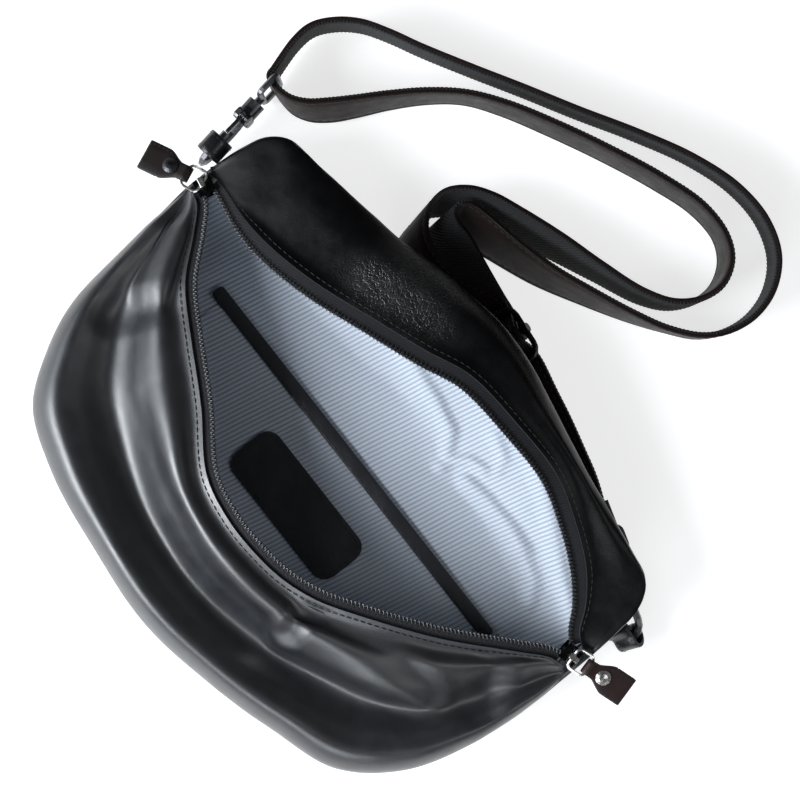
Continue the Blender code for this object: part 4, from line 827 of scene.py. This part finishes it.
def front_grid():
    """The outer face of the front panel, from the bottom seam over the belly to the zip."""
    rows = []
    for swell, start, away, inner, end in panel_rows(outline()[0], FRONT_LIP):
        ridge = start.z + (BELLY_HEIGHT - start.z) * swell
        profile = [start + UP * (SEAM_CLIMB * swell)]
        for across, climb, dish, bump in BELLY_SHARES:
            flat = start + away * across
            flat -= away.normalized() * BELLY_BULGE * swell * (1 if across < 0.05 else 0)
            crest = start.z + (ridge - start.z) * climb
            base = crest + (inner.z - crest) * max(0.0, across) ** 2
            flat.z = base - BELLY_DISH * swell * dish + INNER_RIDGE * swell * bump
            profile.append(flat)
        rows.append((start, [*profile, inner, end]))
    return panel_grid(rows[::-1], FRONT_FINE)


def top_grid():
    """The outer face of the top panel, from the fold to the zip."""
    rows = []
    for swell, start, away, inner, end in panel_rows(outline()[1], BACK_LIP):
        low = start - away.normalized() * BELLY_BULGE * swell * 0.6
        low.z = start.z + SEAM_CLIMB + 0.3 * (inner.z - start.z)
        high = start + away * 0.3
        high.z = start.z + 0.8 * (inner.z - start.z) + BELLY_BULGE * swell
        rows.append((start, [start + UP * SEAM_CLIMB, low, high, inner, end]))
    return panel_grid(rows, TOP_FINE)


def back_section(x, y, share):
    centre_y = BACK_CENTRE_SHARE * BOTTOM_REACH
    flat = FLAT_SHARE - (FLAT_SHARE - FLAT_SHARE_AT_FOLD) * smoothstep(-0.3, 0.8, y / FOLD_REACH)
    rise = max(0.0, (share - flat) / (1 - flat)) ** BACK_CURVE_POWER
    return (x * share, centre_y + (y - centre_y) * share, seam_height(y) * rise)


def back_grid(rim_share, steps):
    """Rings of the back panel's underside, from its middle to a share of its rim."""
    bottom, fold = outline()
    rim = smooth_path(bottom, 150) + smooth_path(fold, 130)[::-1]
    shares = [MIDDLE_SHARE + (rim_share - MIDDLE_SHARE) * step / steps for step in range(steps + 1)]
    return np.array([[tuple(Vector(back_section(x, y, share))) for x, y in rim] for share in shares])


def wrinkled(grid, seed, broad, middle, small, folds=(), fade_start=0.10):
    """A grid pushed along its normals by soft noise and drawn folds, still at its borders."""
    normals = grid_normals(grid)
    made = grid.copy()
    rows, columns = grid.shape[:2]
    shift = Vector((seed * 3.7, seed * 1.3, seed * 2.1))
    for r in range(rows):
        share = r / (rows - 1)
        ends = smoothstep(0.0, 0.06, share) * smoothstep(0.0, 0.06, 1 - share)
        for c in range(columns):
            across = c / (columns - 1)
            weight = ends * smoothstep(0.0, fade_start, across) * smoothstep(0.0, 0.12, 1 - across)
            if weight <= 0:
                continue
            spot = Vector(grid[r, c])
            push = broad * noise.noise(spot * BROAD_SCALE + shift)
            push += middle * noise.noise(spot * MIDDLE_SCALE + shift)
            ridge = 1 - abs(noise.noise(spot * SMALL_SCALE + shift)) * 2
            push += small * (ridge * ridge - 0.5)
            for line, height, reach in folds:
                push += height * crease(*grid[r, c, :2], line, reach)
            made[r, c] += normals[r, c] * push * weight
    return made


def inside_relief(x, y):
    """How far the soft back wall stands up off the floor of the bag."""
    push = max(height * crease(x, y, line, reach) for line, height, reach in INSIDE_FOLDS)
    push += 0.0012 * max(0.0, noise.noise(Vector((x * 26, y * 22, 3.1))))
    push += 0.0005 * max(0.0, noise.noise(Vector((x * 60, y * 55, 7.4))))
    return push


def lining_grid(grid):
    """The face of a lining behind an outer face: its rows are cut short and set in along the normals."""
    normals = grid_normals(grid)
    rows = []
    for r in range(LINING_ENDS, len(grid) - LINING_ENDS):
        along = distances(grid[r])
        behind = grid[r] - normals[r] * (LEATHER_LIFT + LINING_CENTRE - LINING / 2)
        low = min(0.45, LINING_MARGIN / along[-1]) * along[-1]
        high = (1 - min(0.4, (LIP_HEM + LEATHER / 2) / along[-1])) * along[-1]
        wanted = np.linspace(low, high, len(along))
        rows.append(np.stack([np.interp(wanted, along, column) for column in behind.T], axis=1))
    return np.array(rows)


def cloth_area(grid):
    """The area of one side of a grid, in square metres."""
    a = grid[1:, :-1] - grid[:-1, :-1]
    b = grid[:-1, 1:] - grid[:-1, :-1]
    return float(np.linalg.norm(np.cross(a, b), axis=2).sum())


def declare_cloth(piece, grid, flat):
    """Works out a sheet's flat size, when none is given, and the smaller of its area on one side and that
    size; nothing keeps the result.
    """
    if flat is None:
        across = np.linalg.norm(np.diff(grid, axis=1), axis=2).sum(axis=1).max()
        along = np.linalg.norm(np.diff(grid, axis=0), axis=2).sum(axis=0).max()
        flat = (across, along)
    flat = (float(flat[0]), float(flat[1]))
    min(cloth_area(grid), flat[0] * flat[1])


def back_skin(name, grid, lift, thick, look, node, soft=False):
    """A skin that follows the back panel's underside, lifted along its normals, with folds where soft."""
    rows, columns = grid.shape[:2]
    closed = np.concatenate([grid[:, -1:], grid, grid[:, :1]], axis=1)
    normals = grid_normals(closed)[:, 1:-1]
    if normals[2, 3, 2] < 0:
        normals = -normals
    low = grid + normals * lift
    for r in range(rows if soft else 0):
        weight = smoothstep(1.0, 0.85, r / (rows - 1))
        for c in range(columns):
            low[r, c, 2] += inside_relief(*low[r, c, :2]) * weight
    verts, faces = both_sides(low, low + normals * thick, True)
    count = rows * columns
    last = count - columns
    faces += [tuple(reversed(range(columns))), tuple(range(count, count + columns))]
    for c in range(columns):
        a, b = last + c, last + (c + 1) % columns
        faces.append((a, b, count + b, count + a))
    return piece_from(name, verts, faces, look, node, sharp=60.0, outwards=True)


def make_body():
    """The leather panels and their linings."""
    faces = {
        "front": wrinkled(front_grid(), 1.0, 0.0012, 0.00022, 0.00003, FRONT_FOLDS, 0.42),
        "top": wrinkled(top_grid(), 5.0, 0.0011, 0.00035, 0.00006),
    }
    for name, look in (("front", BLACK), ("top", CRINKLED_PAINTED_SHADE)):
        shell(f"{name}_panel_skin", faces[name], LEATHER, look, f"{name}_panel", HIDE_ROUND, True)
    back_skin("back_panel_skin", back_grid(1.0, 44), 0.0, LEATHER, BLACK, "back_panel")
    inside = back_grid(LINING_RIM_SHARE, 60)
    cloth = back_skin("lining_back_cloth", inside, LEATHER + 2 * GAP, LINING, CLOTH, "lining_back", True)
    size = np.ptp(inside.reshape(-1, 3), axis=0) * BOWL_SPREAD
    declare_cloth(cloth, inside, (size[1], size[0]))
    for name, face in faces.items():
        grid = lining_grid(face)
        cloth = shell(f"lining_{name}_cloth", grid, LINING, CLOTH, f"lining_{name}")
        declare_cloth(cloth, grid, None)


def make_zip():
    """Tapes, coils and the stitch lines beside them."""
    for name, panel, lip, extra in (
        ("front", "front", FRONT_LIP, FRONT_TAPE_EXTRA), ("back", "top", BACK_LIP, BACK_TAPE_EXTRA),
    ):
        stations = []
        for i, (point, _, up, into) in enumerate(lip_frames(*lip)):
            share = i / (LIP_FINE - 1)
            shown = TAPE_SHOWN + extra * smoothstep(0.0, 0.16, min(share, 1 - share))
            stations.append((point, up, into, hem_at(share), shown))
        laid, sewn = stations[TAPE_TRIM:-TAPE_TRIM], stations[SEWN_TRIM:-SEWN_TRIM]

        rings = []
        uvs = []
        for far, (point, up, into, hem, shown) in zip(distances([s[0] for s in laid]), laid):
            low = TAPE_UNTUCKED - hem
            section = ((low, -1), (0, -1), (shown, -1), (shown, 1), (0, 1), (low, 1))
            rings.append([point + into * w + up * h * TAPE / 2 for w, h in section])
            uvs += [(far, w) for w, _ in section]
        sweep(f"{name}_zip_tape_cloth", rings, TAPE_CLOTH, f"{name}_zip_tape", uvs=uvs)

        middle, base = COIL_WIDTH / 3 - COIL_WIDTH / 2, TAPE / 2 + COIL_HEIGHT / 2
        line = [
            (*(point + into * (shown + middle) + up * base), *up, *into)
            for point, up, into, _, shown in laid
        ]
        turns = round(distances(line)[-1] / COIL_PITCH)
        centres = []
        for i, row in enumerate(smooth_path(line, turns * COIL_STEPS + 1)):
            angle = 2 * pi * i / COIL_STEPS
            up, into = Vector(row[3:6]).normalized(), Vector(row[6:]).normalized()
            centres.append(
                Vector(row[:3]) + into * cos(angle) * (COIL_WIDTH / 2 - COIL_WIRE)
                + up * sin(angle) * (COIL_HEIGHT / 2 - COIL_WIRE)
            )
        tube(f"{name}_zip_coil_wire", centres, COIL_WIRE, 6, NYLON, f"{name}_zip_coil")

        ups = [s[1] for s in sewn]
        stitches(f"{panel}_lip_stitches", [
            point + up * (LEATHER_LIFT + TAPE_THREAD_LIFT) - into * min(LIP_SEAM, hem * 0.6)
            for point, up, into, hem, _ in sewn
        ], ups)
        stitches(f"{name}_tape_stitches", [
            point + up * (TAPE / 2 + TAPE_THREAD_LIFT) + into * (shown - COIL_WIDTH * 0.95)
            for point, up, into, _, shown in sewn
        ], ups, "zip_tape", TAPE_THREAD)


def laid_rows(centre, half_x, half_y, corner, columns=120, ribs=16):
    """Places of a plate with round corners, as a grid of x and y."""
    rows = []
    for step in range(columns + 1):
        x = -half_x + 2 * half_x * step / columns
        near_end = max(0.0, abs(x) - (half_x - corner))
        half = half_y - corner + sqrt(max(0.0, corner**2 - near_end**2))
        rows.append([(centre[0] + x, centre[1] + half * (2 * k / ribs - 1)) for k in range(ribs + 1)])
    return rows[::-1]


def laid_shell(name, rows, top, thick, look, node, rounded=0.0, swell=0.0):
    """A plate that follows the soft back wall, its upper face at a height over the bag's underside."""
    grid = np.array([[
        (x, y, top + inside_relief(x, y) + swell * sin(pi * c / (len(row) - 1)) ** 0.5)
        for c, (x, y) in enumerate(row)
    ] for row in rows])
    if grid_normals(grid)[len(rows) // 2, len(rows[0]) // 2, 2] < 0:
        grid = grid[::-1]
    return shell(name, grid, thick, look, node, rounded), grid


def make_pocket():
    """The slip pocket on the back wall: its cloth, the bound top edge and the bare leather patch."""
    low = LEATHER + 2 * GAP + LINING + GAP
    middle = (POCKET_CENTRE_X, POCKET_TOP_Y - POCKET_DEPTH / 2)
    rows = laid_rows(middle, POCKET_HALF_LENGTH, POCKET_DEPTH / 2, PATCH_CORNER)
    cloth, grid = laid_shell("pocket_cloth", rows, low + POCKET_CLOTH, POCKET_CLOTH, CLOTH, "pocket_panel")
    declare_cloth(cloth, grid, None)
    top = low + POCKET_CLOTH + GAP
    centre = (BINDING_CENTRE_X, BINDING_Y)
    rows = laid_rows(centre, BINDING_HALF_LENGTH, BINDING_WIDTH / 2, BINDING_WIDTH / 6, 160, 8)
    laid_shell(
        "pocket_binding_leather", rows, top + BINDING, BINDING, BINDING_BLACK, "pocket_binding",
        TRIM_ROUND, BINDING_SWELL,
    )
    rows = laid_rows((POCKET_CENTRE_X, PATCH_Y), PATCH_LENGTH / 2, PATCH_WIDTH / 2, PATCH_CORNER, 90, 40)
    laid_shell("pocket_patch_leather", rows, top + PATCH, PATCH, BINDING_BLACK, "pocket_patch", TRIM_ROUND)

    half_x, half_y, corner = (v - PATCH_SEAM for v in (PATCH_LENGTH / 2, PATCH_WIDTH / 2, PATCH_CORNER))
    edge = []
    for quarter, (side_x, side_y) in enumerate(((1, 1), (-1, 1), (-1, -1), (1, -1))):
        for step in range(9):
            angle = (quarter + step / 8) * pi / 2
            edge.append((
                POCKET_CENTRE_X + side_x * (half_x - corner) + corner * cos(angle),
                PATCH_Y + side_y * (half_y - corner) + corner * sin(angle),
            ))
    seam = []
    for (ax, ay), (bx, by) in zip(edge, edge[1:] + edge[:1]):
        for k in range(6):
            x, y = ax + (bx - ax) * k / 6, ay + (by - ay) * k / 6
            seam.append((x, y, top + PATCH + inside_relief(x, y)))
    stitches("patch_stitches", seam, [UP] * len(seam))
    seam = []
    y = BINDING_Y - BINDING_WIDTH / 2 + BINDING_SEAM
    for k in range(161):
        x = BINDING_CENTRE_X + (BINDING_HALF_LENGTH - BINDING_SEAM_END) * (k / 80 - 1)
        seam.append((x, y, top + BINDING + inside_relief(x, y) + BINDING_THREAD_LIFT))
    stitches("binding_stitches", seam, [UP] * len(seam))


# Strap

STRAP_THICK = STRAP_LEATHER + STRAP_WEBBING + GAP
HALF_WIDTH = STRAP_WIDTH / 2
UNDER_FRAME = -(BUCKLE_WIRE + 2 * GAP + STRAP_THICK / 2)
UNDER_STRAP = UNDER_FRAME - STRAP_THICK - GAP
BAR_TURN = BUCKLE_WIRE + GAP + STRAP_THICK / 2
EYE_TURN = EYE_WIRE + GAP + STRAP_THICK / 2
OVER_BAR = -BUCKLE_BAR_DROP + BAR_TURN + STRAP_THICK + GAP
SIDE_BAR = BUCKLE_LENGTH / 2


def left_hook_frame():
    along = Vector((cos(LEFT_HEADING), sin(LEFT_HEADING), 0))
    centre = Vector(LEFT_LOOP) - UP * (CLAW_HALF - LOOP_LIFT) - along * LOOP_ALONG
    return basis(centre, UP, along.cross(UP), along)


def right_hook_frame():
    along = Vector((cos(RIGHT_HEADING), sin(RIGHT_HEADING), 0)).normalized()
    across = UP.cross(along).normalized()
    if across.y < 0:
        across = -across
    wide = across * cos(RIGHT_LEAN) + UP * sin(RIGHT_LEAN)
    wide = (wide - along * wide.dot(along)).normalized()
    sag = CLAW_HALF - sqrt(CLAW_HALF**2 - (LOOP_WIDTH / 2) ** 2)
    centre = Vector(RIGHT_LOOP) - along * (CLAW_WIRE + sag / 2)
    return basis(centre, wide, along.cross(wide), along)


def buckle_frame():
    along = Vector((*BUCKLE_ALONG, 0)).normalized()
    wide = UP.cross(along) * cos(BUCKLE_LEAN) + UP * sin(BUCKLE_LEAN)
    return basis(Vector(BUCKLE_CENTRE), wide, along.cross(wide), along)


def strap_at(hold, off, along):
    """A row of the strap's line at a place in a hook's or the buckle's frame, its width along that X."""
    wide = hold.to_3x3().col[0]
    return (*(hold @ Vector((0, off, along))), wide.x / wide.z, wide.y / wide.z)


def eye_turn(hook, last):
    """The strap's way round a hook's eye."""
    angles = [radians(-100 + (last + 100) * k / 8) for k in range(9)]
    return [strap_at(hook, EYE_TURN * sin(angle), EYE_END - EYE_TURN * cos(angle)) for angle in angles]


def lay(rows):
    """Rows of the strap's line from ones in millimetres; FLAT_LAY fills in what a short one leaves out."""
    full = [(*row, *FLAT_LAY[len(row) - 2:]) for row in rows]
    return [(x / 1000, y / 1000, z / 1000, *lean) for x, y, z, *lean in full]


def strap_rows():
    """The strap's centre line with its width direction: from the buckle's bar to the left hook and back."""
    hold = buckle_frame()
    drop = -BUCKLE_BAR_DROP
    rows = [
        strap_at(hold, drop - GAP, -SIDE_BAR * 0.35), strap_at(hold, drop * 0.45, -SIDE_BAR * 0.28),
    ]
    for k in range(10):
        angle = radians(125 - 225 * k / 9)
        rows.append(strap_at(hold, drop + BAR_TURN * sin(angle), BAR_TURN * cos(angle)))
    for far, off in ((0.60, UNDER_STRAP * 0.92), (1.0, UNDER_STRAP), (1.35, UNDER_STRAP)):
        rows.append(strap_at(hold, off, -SIDE_BAR * far))
    rows += [*lay(STRAP_OUT), *eye_turn(left_hook_frame(), 10), *lay(STRAP_BACK)]
    climb = OVER_BAR - UNDER_FRAME
    hump = [(-far, share) for far, share in STRAP_HUMP] + STRAP_HUMP[::-1]
    rows += [strap_at(hold, UNDER_FRAME + climb * share, SIDE_BAR * far) for far, share in hump]
    hook = right_hook_frame()
    rows += [*lay(STRAP_TAIL), *eye_turn(hook, 95)]
    return rows + [strap_at(hook, EYE_TURN, EYE_END + run) for run in STRAP_FLAP]


def strap_stations(rows):
    """Along a run: place, half width, way off the leather's face, and distance."""
    places = [Vector(row[:3]) for row in rows]
    made = []
    for i, (row, far) in enumerate(zip(rows, distances(places))):
        run = (places[min(i + 2, len(rows) - 1)] - places[max(i - 2, 0)]).normalized()
        wide = Vector((row[3], row[4], 1)).normalized() * HALF_WIDTH
        off = run.cross(wide).normalized()
        lowest = places[i].z - wide.z - abs(off.z) * STRAP_THICK / 2
        made.append((places[i] + UP * max(0.0, GAP - lowest), wide, off, far))
    return made


def band(name, stations, offset, thick, section, look, node, ribs=0.0):
    """A flat band with rounded edges along a run's stations, ribbed to a depth on its far side."""
    rings = []
    for place, wide, off, far in stations:
        ring = []
        for w, h in section:
            depth = 0.0
            if ribs and (h < 0 or abs(w) > 0.9):
                depth = ribs * (0.5 + 0.5 * sin(2 * pi * (far + w * RIB_SLANT) / RIB_PITCH))
            across = wide * w * (1 - depth * 0.6 / HALF_WIDTH)
            ring.append(place + across + off * (offset + thick * h + depth))
        rings.append(ring)
    uvs = [(station[3], w * HALF_WIDTH) for station in stations for w, _ in section]
    return sweep(name, rings, look, node, uvs=uvs, sharp=60.0)


def make_strap():
    """The strap in two runs that meet round the left hook's eye, each leather on webbing, sewn together."""
    dense = smooth_path(strap_rows(), STRAP_FINE)
    turn = Vector(eye_turn(left_hook_frame(), 10)[4][:3])
    split = min(range(STRAP_FINE), key=lambda i: (Vector(dense[i][:3]) - turn).length)
    centre_leather = (STRAP_THICK - STRAP_LEATHER) / 2
    centre_webbing = -(STRAP_THICK - STRAP_WEBBING) / 2
    face = centre_leather + (STRAP_LEATHER + GAP) * 0.30 + STRAP_THREAD_LIFT
    for name, rows in (("outward", dense[:split + 1]), ("return", dense[split:])):
        stations = strap_stations(rows)
        skin = band(
            f"strap_{name}_leather", stations, centre_leather, STRAP_LEATHER + GAP, LEATHER_SECTION,
            STRAP_BLACK, "strap_leather",
        )
        web = band(
            f"strap_{name}_webbing", stations, centre_webbing, STRAP_WEBBING, WEBBING_SECTION,
            WEBBING, "strap_webbing", RIB_DEPTH,
        )
        threads = [stitches(
            f"strap_{name}_{label}_stitches",
            [place + wide * w + off * face for place, wide, off, _ in stations[::4]],
            [station[2] for station in stations[::4]], thread=STRAP_THREAD,
        ) for label, w in (("low", -STRAP_SEAM), ("high", STRAP_SEAM))]
        last = len(stations) - 1
        path = [tuple(stations[round(k * last / CORD_STEPS)][0]) for k in range(CORD_STEPS + 1)]
        tuple(rows[0][:3])


# Ends of the zip

PULL_HEIGHT = SLIDER_OVER + SLIDER_PLATE + (BRIDGE_HEIGHT - BRIDGE_WALL) / 2


def slider_frame(side):
    x = side * (MOUTH_HALF - SLIDER_INSET)
    front, back = (shares[-1 if side > 0 else 0][1] * reach for shares, reach, _ in (FRONT_LIP, BACK_LIP))
    run = Vector((-side, PATH_LEAN_SHARE, END_SLOPE)).normalized()
    up = Vector((END_SLOPE * side, 0, 1))
    up = (up - run * up.dot(run)).normalized()
    return basis(Vector((x, (front + back) / 2, lip_height(x))), run, up.cross(run), up)


def strip(name, path, thick, width_at, put, look, node, body="bag"):
    """A leather strip along a path of (along, up) places, set on the bag by put; gives the ways off it."""
    offs = []
    rings = []
    for i, (a, b) in enumerate(path):
        before, after = path[max(i - 1, 0)], path[min(i + 1, len(path) - 1)]
        run = Vector((after[0] - before[0], after[1] - before[1])).normalized()
        off = Vector((-run.y, run.x))
        offs.append(off)
        half = width_at(a) / 2
        rings.append([
            put(a, w * half, a + off.x * h * thick, b + off.y * h * thick) for w, h in STRIP_SECTION
        ])
    sweep(name, rings, look, node, edge_columns=STRIP_EDGES, body=body, sharp=55.0)
    return offs


def make_tab(side_name, side, yaw, turn, look):
    """The zip pull: a strip folded round the ring and at its far end, with stitches along both sides."""
    hold = slider_frame(side) @ Matrix.Translation((-SLIDER_LENGTH / 10, 0, PULL_HEIGHT))
    hold = hold @ Matrix.Rotation(pi + yaw, 4, "Z") @ Matrix.Rotation(-PULL_PITCH, 4, "Y")
    hold = hold @ Matrix.Translation((RING_LENGTH, 0, 0)) @ Matrix.Rotation(turn, 4, "Z")
    layer = TAB_THICK / 2 - TAB_SLIT
    centre = layer / 2 + TAB_SLIT
    bore = TAB_BORE + layer / 2
    neck = bore * 1.9
    far = TAB_LENGTH - layer / 2 - 2 * TAB_SLIT

    def width_at(along):
        share = smoothstep(0.1, 0.55, max(0.0, along) / TAB_LENGTH)
        return TAB_NECK_WIDTH + (TAB_END_WIDTH - TAB_NECK_WIDTH) * share

    def put(_, across, along, up):
        return hold @ Vector((along, across, up))

    path = [(far * (0.60 + 0.38 * k / 8), -centre) for k in range(9)]
    path += [(far + centre * sin(pi * k / 8), -centre * cos(pi * k / 8)) for k in range(1, 8)]
    path += [(far + (neck - far) * k / 16, centre) for k in range(17)]
    turns = [radians(62 + 236 * k / 16) for k in range(17)]
    path += [(bore * cos(turn), bore * sin(turn)) for turn in turns]
    path += [(neck + (far * 0.56 - neck) * k / 8, -centre) for k in range(9)]
    node = f"{side_name}_pull_tab"
    strip(f"{node}_leather", path, layer, width_at, put, look, node, node)
    places = [TAB_LENGTH * (0.42 + 0.52 * k / 20) for k in range(21)]
    ups = [hold.to_3x3() @ UP] * len(places)
    for label, w in (("a", -1), ("b", 1)):
        line = [
            put(0, w * (width_at(along) / 2 - TAB_SEAM), along, centre + layer / 2) for along in places
        ]
        stitches(f"{side_name}_tab_stitches_{label}", line, ups, "tab_leather", TAB_THREAD, node)


def make_end_loop(side_name, side, centre, wide):
    """A leather strip folded into a loop: its bore runs the wide way and its root meets the seam."""
    near = [spot for spot in smooth_path(outline()[1], 120) if spot[0] * side > HALF_LENGTH / 2]
    x, y = min(near, key=lambda spot: abs(spot[1] - centre.y))
    out = centre - Vector((x, y, seam_height(y)))
    out = out - wide * out.dot(wide)
    far = out.length
    out.normalize()
    up = wide.cross(out)
    radius = LOOP_BORE + LOOP_STRAP / 2
    root = LOOP_STRAP / 2 + GAP / 2

    def put(at, across, along, high):
        spread = Vector((0, 1, 0)).lerp(wide, smoothstep(-far, -radius, at)).normalized()
        return centre + out * along + up * high + spread * across

    key = [(-far + LOOP_ROOT_GAP, root), (-radius * 1.15, root + radius / 6)]
    turns = [radians(132 - 264 * k / 12) for k in range(13)]
    key += [(radius * cos(turn), radius * sin(turn)) for turn in turns] + [(a, -b) for a, b in key[::-1]]
    path = [row[:2] for row in smooth_path([(a, b, 0.0) for a, b in key], 64)]
    name = f"{side_name}_loop_leather"
    offs = strip(name, path, LOOP_STRAP, lambda at: LOOP_WIDTH, put, LOOP_BLACK, f"{side_name}_end_loop")
    ups = [out * off.x + up * off.y for off in offs]
    skin = LOOP_STRAP / 2
    for label, w in (("a", -1), ("b", 1)):
        across = w * (LOOP_WIDTH / 2 - LOOP_SEAM)
        line = [put(a, across, a + off.x * skin, b + off.y * skin) for (a, b), off in zip(path, offs)]
        stitches(f"{name}_stitches_{label}", line, ups, thread=LOOP_THREAD)


def make_ends():
    """Loops, pulls and the finishes of the metal parts."""
    make_end_loop("left", -1, Vector(LEFT_LOOP), left_hook_frame().to_3x3() @ UP)
    make_end_loop("right", 1, Vector(RIGHT_LOOP), right_hook_frame().to_3x3() @ Vector((1, 0, 0)))
    # The left tab is painted darker than the right one as shade
    make_tab("left", -1, LEFT_PULL_YAW, LEFT_TAB_TURN, TAB_PAINTED_SHADE)
    make_tab("right", 1, RIGHT_PULL_YAW, RIGHT_TAB_TURN, TAB_BROWN)
    # The left rivet takes the black metal as painted shade; the right one stays nickel
    finishes = {"strap_buckle": BLACK_METAL_AND_RIVET_SHADE, "left_pull_rivet": BLACK_METAL_AND_RIVET_SHADE, "right_pull_rivet": NICKEL}
    for name, side in (("left", -1), ("right", 1)):
        finishes[f"{name}_pull_ring"] = NICKEL
        # Each slider's plates are painted dark as shade under its bridge
        finishes[f"{name}_slider"] = metal(f"{name}_slider", *SLIDER_BRIGHT, 0.22, slider_frame(side))
        for part in ("eye", "body", "gate", "pin", "spring"):
            finishes[f"{name}_hook_{part}"] = GUNMETAL
    for node, finish in finishes.items():
        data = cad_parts[node].data
        data.materials.clear()
        data.materials.append(finish)


def make_welt():
    """The turned seam that runs round the bag where the panels meet."""
    bottom, fold = outline()
    rim = smooth_path(bottom, 220) + smooth_path(fold, 200)[::-1]
    rough = [Vector((x, y, seam_height(y) + LEATHER)) for x, y in rim[::6]]
    centres = [Vector(p) for p in smooth_path(rough, 420, True)]
    rings = []
    for i, centre in enumerate(centres):
        run = (centres[(i + 1) % len(centres)] - centres[i - 1]).normalized()
        side = run.cross(UP).normalized()
        up = side.cross(run)
        rings.append([
            centre + side * (WELT_HALF_WIDTH * cos(turn)) + up * (WELT_HALF_HEIGHT * sin(turn))
            for turn in circle(10)
        ])
    sweep("seam_welt", rings, BLACK, closed=True, sharp=80.0)


# Studio: each lamp's name, place, size, watts and colour

LAMPS = (
    ("key", (-0.42, -1.0, 0.94), (0.80, 0.60), 22.0, (0.92, 0.96, 1.0)),
    ("window", (-0.80, -0.95, 0.66), (1.5, 0.60), 10.0, (0.88, 0.94, 1.0)),
    ("low", (0.72, -0.92, 0.80), (0.80, 0.45), 6.5, (0.90, 0.95, 1.0)),
    ("fill", (0.9, 0.5, 1.1), (0.6, 0.6), 2.5, (0.97, 0.98, 1.0)),
)
LAMP_AIM = Vector((0, 0, 0.02))
FLOOR_REACH = 6.0
FLOOR_GREY = 0.56
FLOOR_GLOW = 0.74
WORLD_COLOUR = (0.96, 0.98, 1.0, 1)
WORLD_GLOW = 0.07


def make_floor():
    """A pale floor whose glow shows to the camera and in gloss and glass, but doesn't light the bag."""
    mesh = bpy.data.meshes.new("floor")
    corners = [(x * FLOOR_REACH, y * FLOOR_REACH, 0) for x, y in ((-1, -1), (1, -1), (1, 1), (-1, 1))]
    mesh.from_pydata(corners, [], [(0, 1, 2, 3)])
    link("floor", mesh)
    ground = bpy.data.materials.new("floor")
    ground.use_nodes = True
    tree = ground.node_tree
    tree.nodes.clear()
    rays = new_node(tree, "ShaderNodeLightPath").outputs
    seen = rays["Is Camera Ray"]
    for ray in ("Is Glossy Ray", "Is Transmission Ray"):
        seen = new_node(tree, "ShaderNodeMath", {0: seen, 1: rays[ray]}, operation="MAXIMUM").outputs[0]
    share = new_node(tree, "ShaderNodeMath", {0: seen, 1: FLOOR_GLOW}, operation="MULTIPLY")
    grey = new_node(tree, "ShaderNodeBsdfDiffuse", {"Color": (FLOOR_GREY, FLOOR_GREY, FLOOR_GREY, 1)})
    glow = new_node(tree, "ShaderNodeEmission", {"Color": (1, 1, 1, 1), "Strength": share.outputs[0]})
    both = new_node(tree, "ShaderNodeAddShader", {0: grey.outputs[0], 1: glow.outputs[0]})
    new_node(tree, "ShaderNodeOutputMaterial", {"Surface": both.outputs[0]})
    mesh.materials.append(ground)


def make_studio():
    """The floor, a faint world, and four soft lamps: three from the bag's bottom side and a weak fill."""
    scene = bpy.context.scene
    scene.view_settings.view_transform = "Standard"
    make_floor()
    scene.world = bpy.data.worlds.new("studio")
    scene.world.use_nodes = True
    tree = scene.world.node_tree
    tree.nodes.clear()
    back = new_node(tree, "ShaderNodeBackground", {"Color": WORLD_COLOUR, "Strength": WORLD_GLOW})
    new_node(tree, "ShaderNodeOutputWorld", {"Surface": back.outputs[0]})
    for name, place, (size_x, size_y), power, colour in LAMPS:
        data = bpy.data.lights.new(name, "AREA")
        data.shape = "RECTANGLE"
        data.size = size_x
        data.size_y = size_y
        data.energy = power
        data.color = colour
        lamp = link(name, data)
        lamp.location = place
        lamp.rotation_euler = (LAMP_AIM - Vector(place)).to_track_quat("-Z", "Y").to_euler()


place_camera()
make_strap()
make_body()
make_zip()
make_pocket()
make_ends()
make_welt()
make_studio()
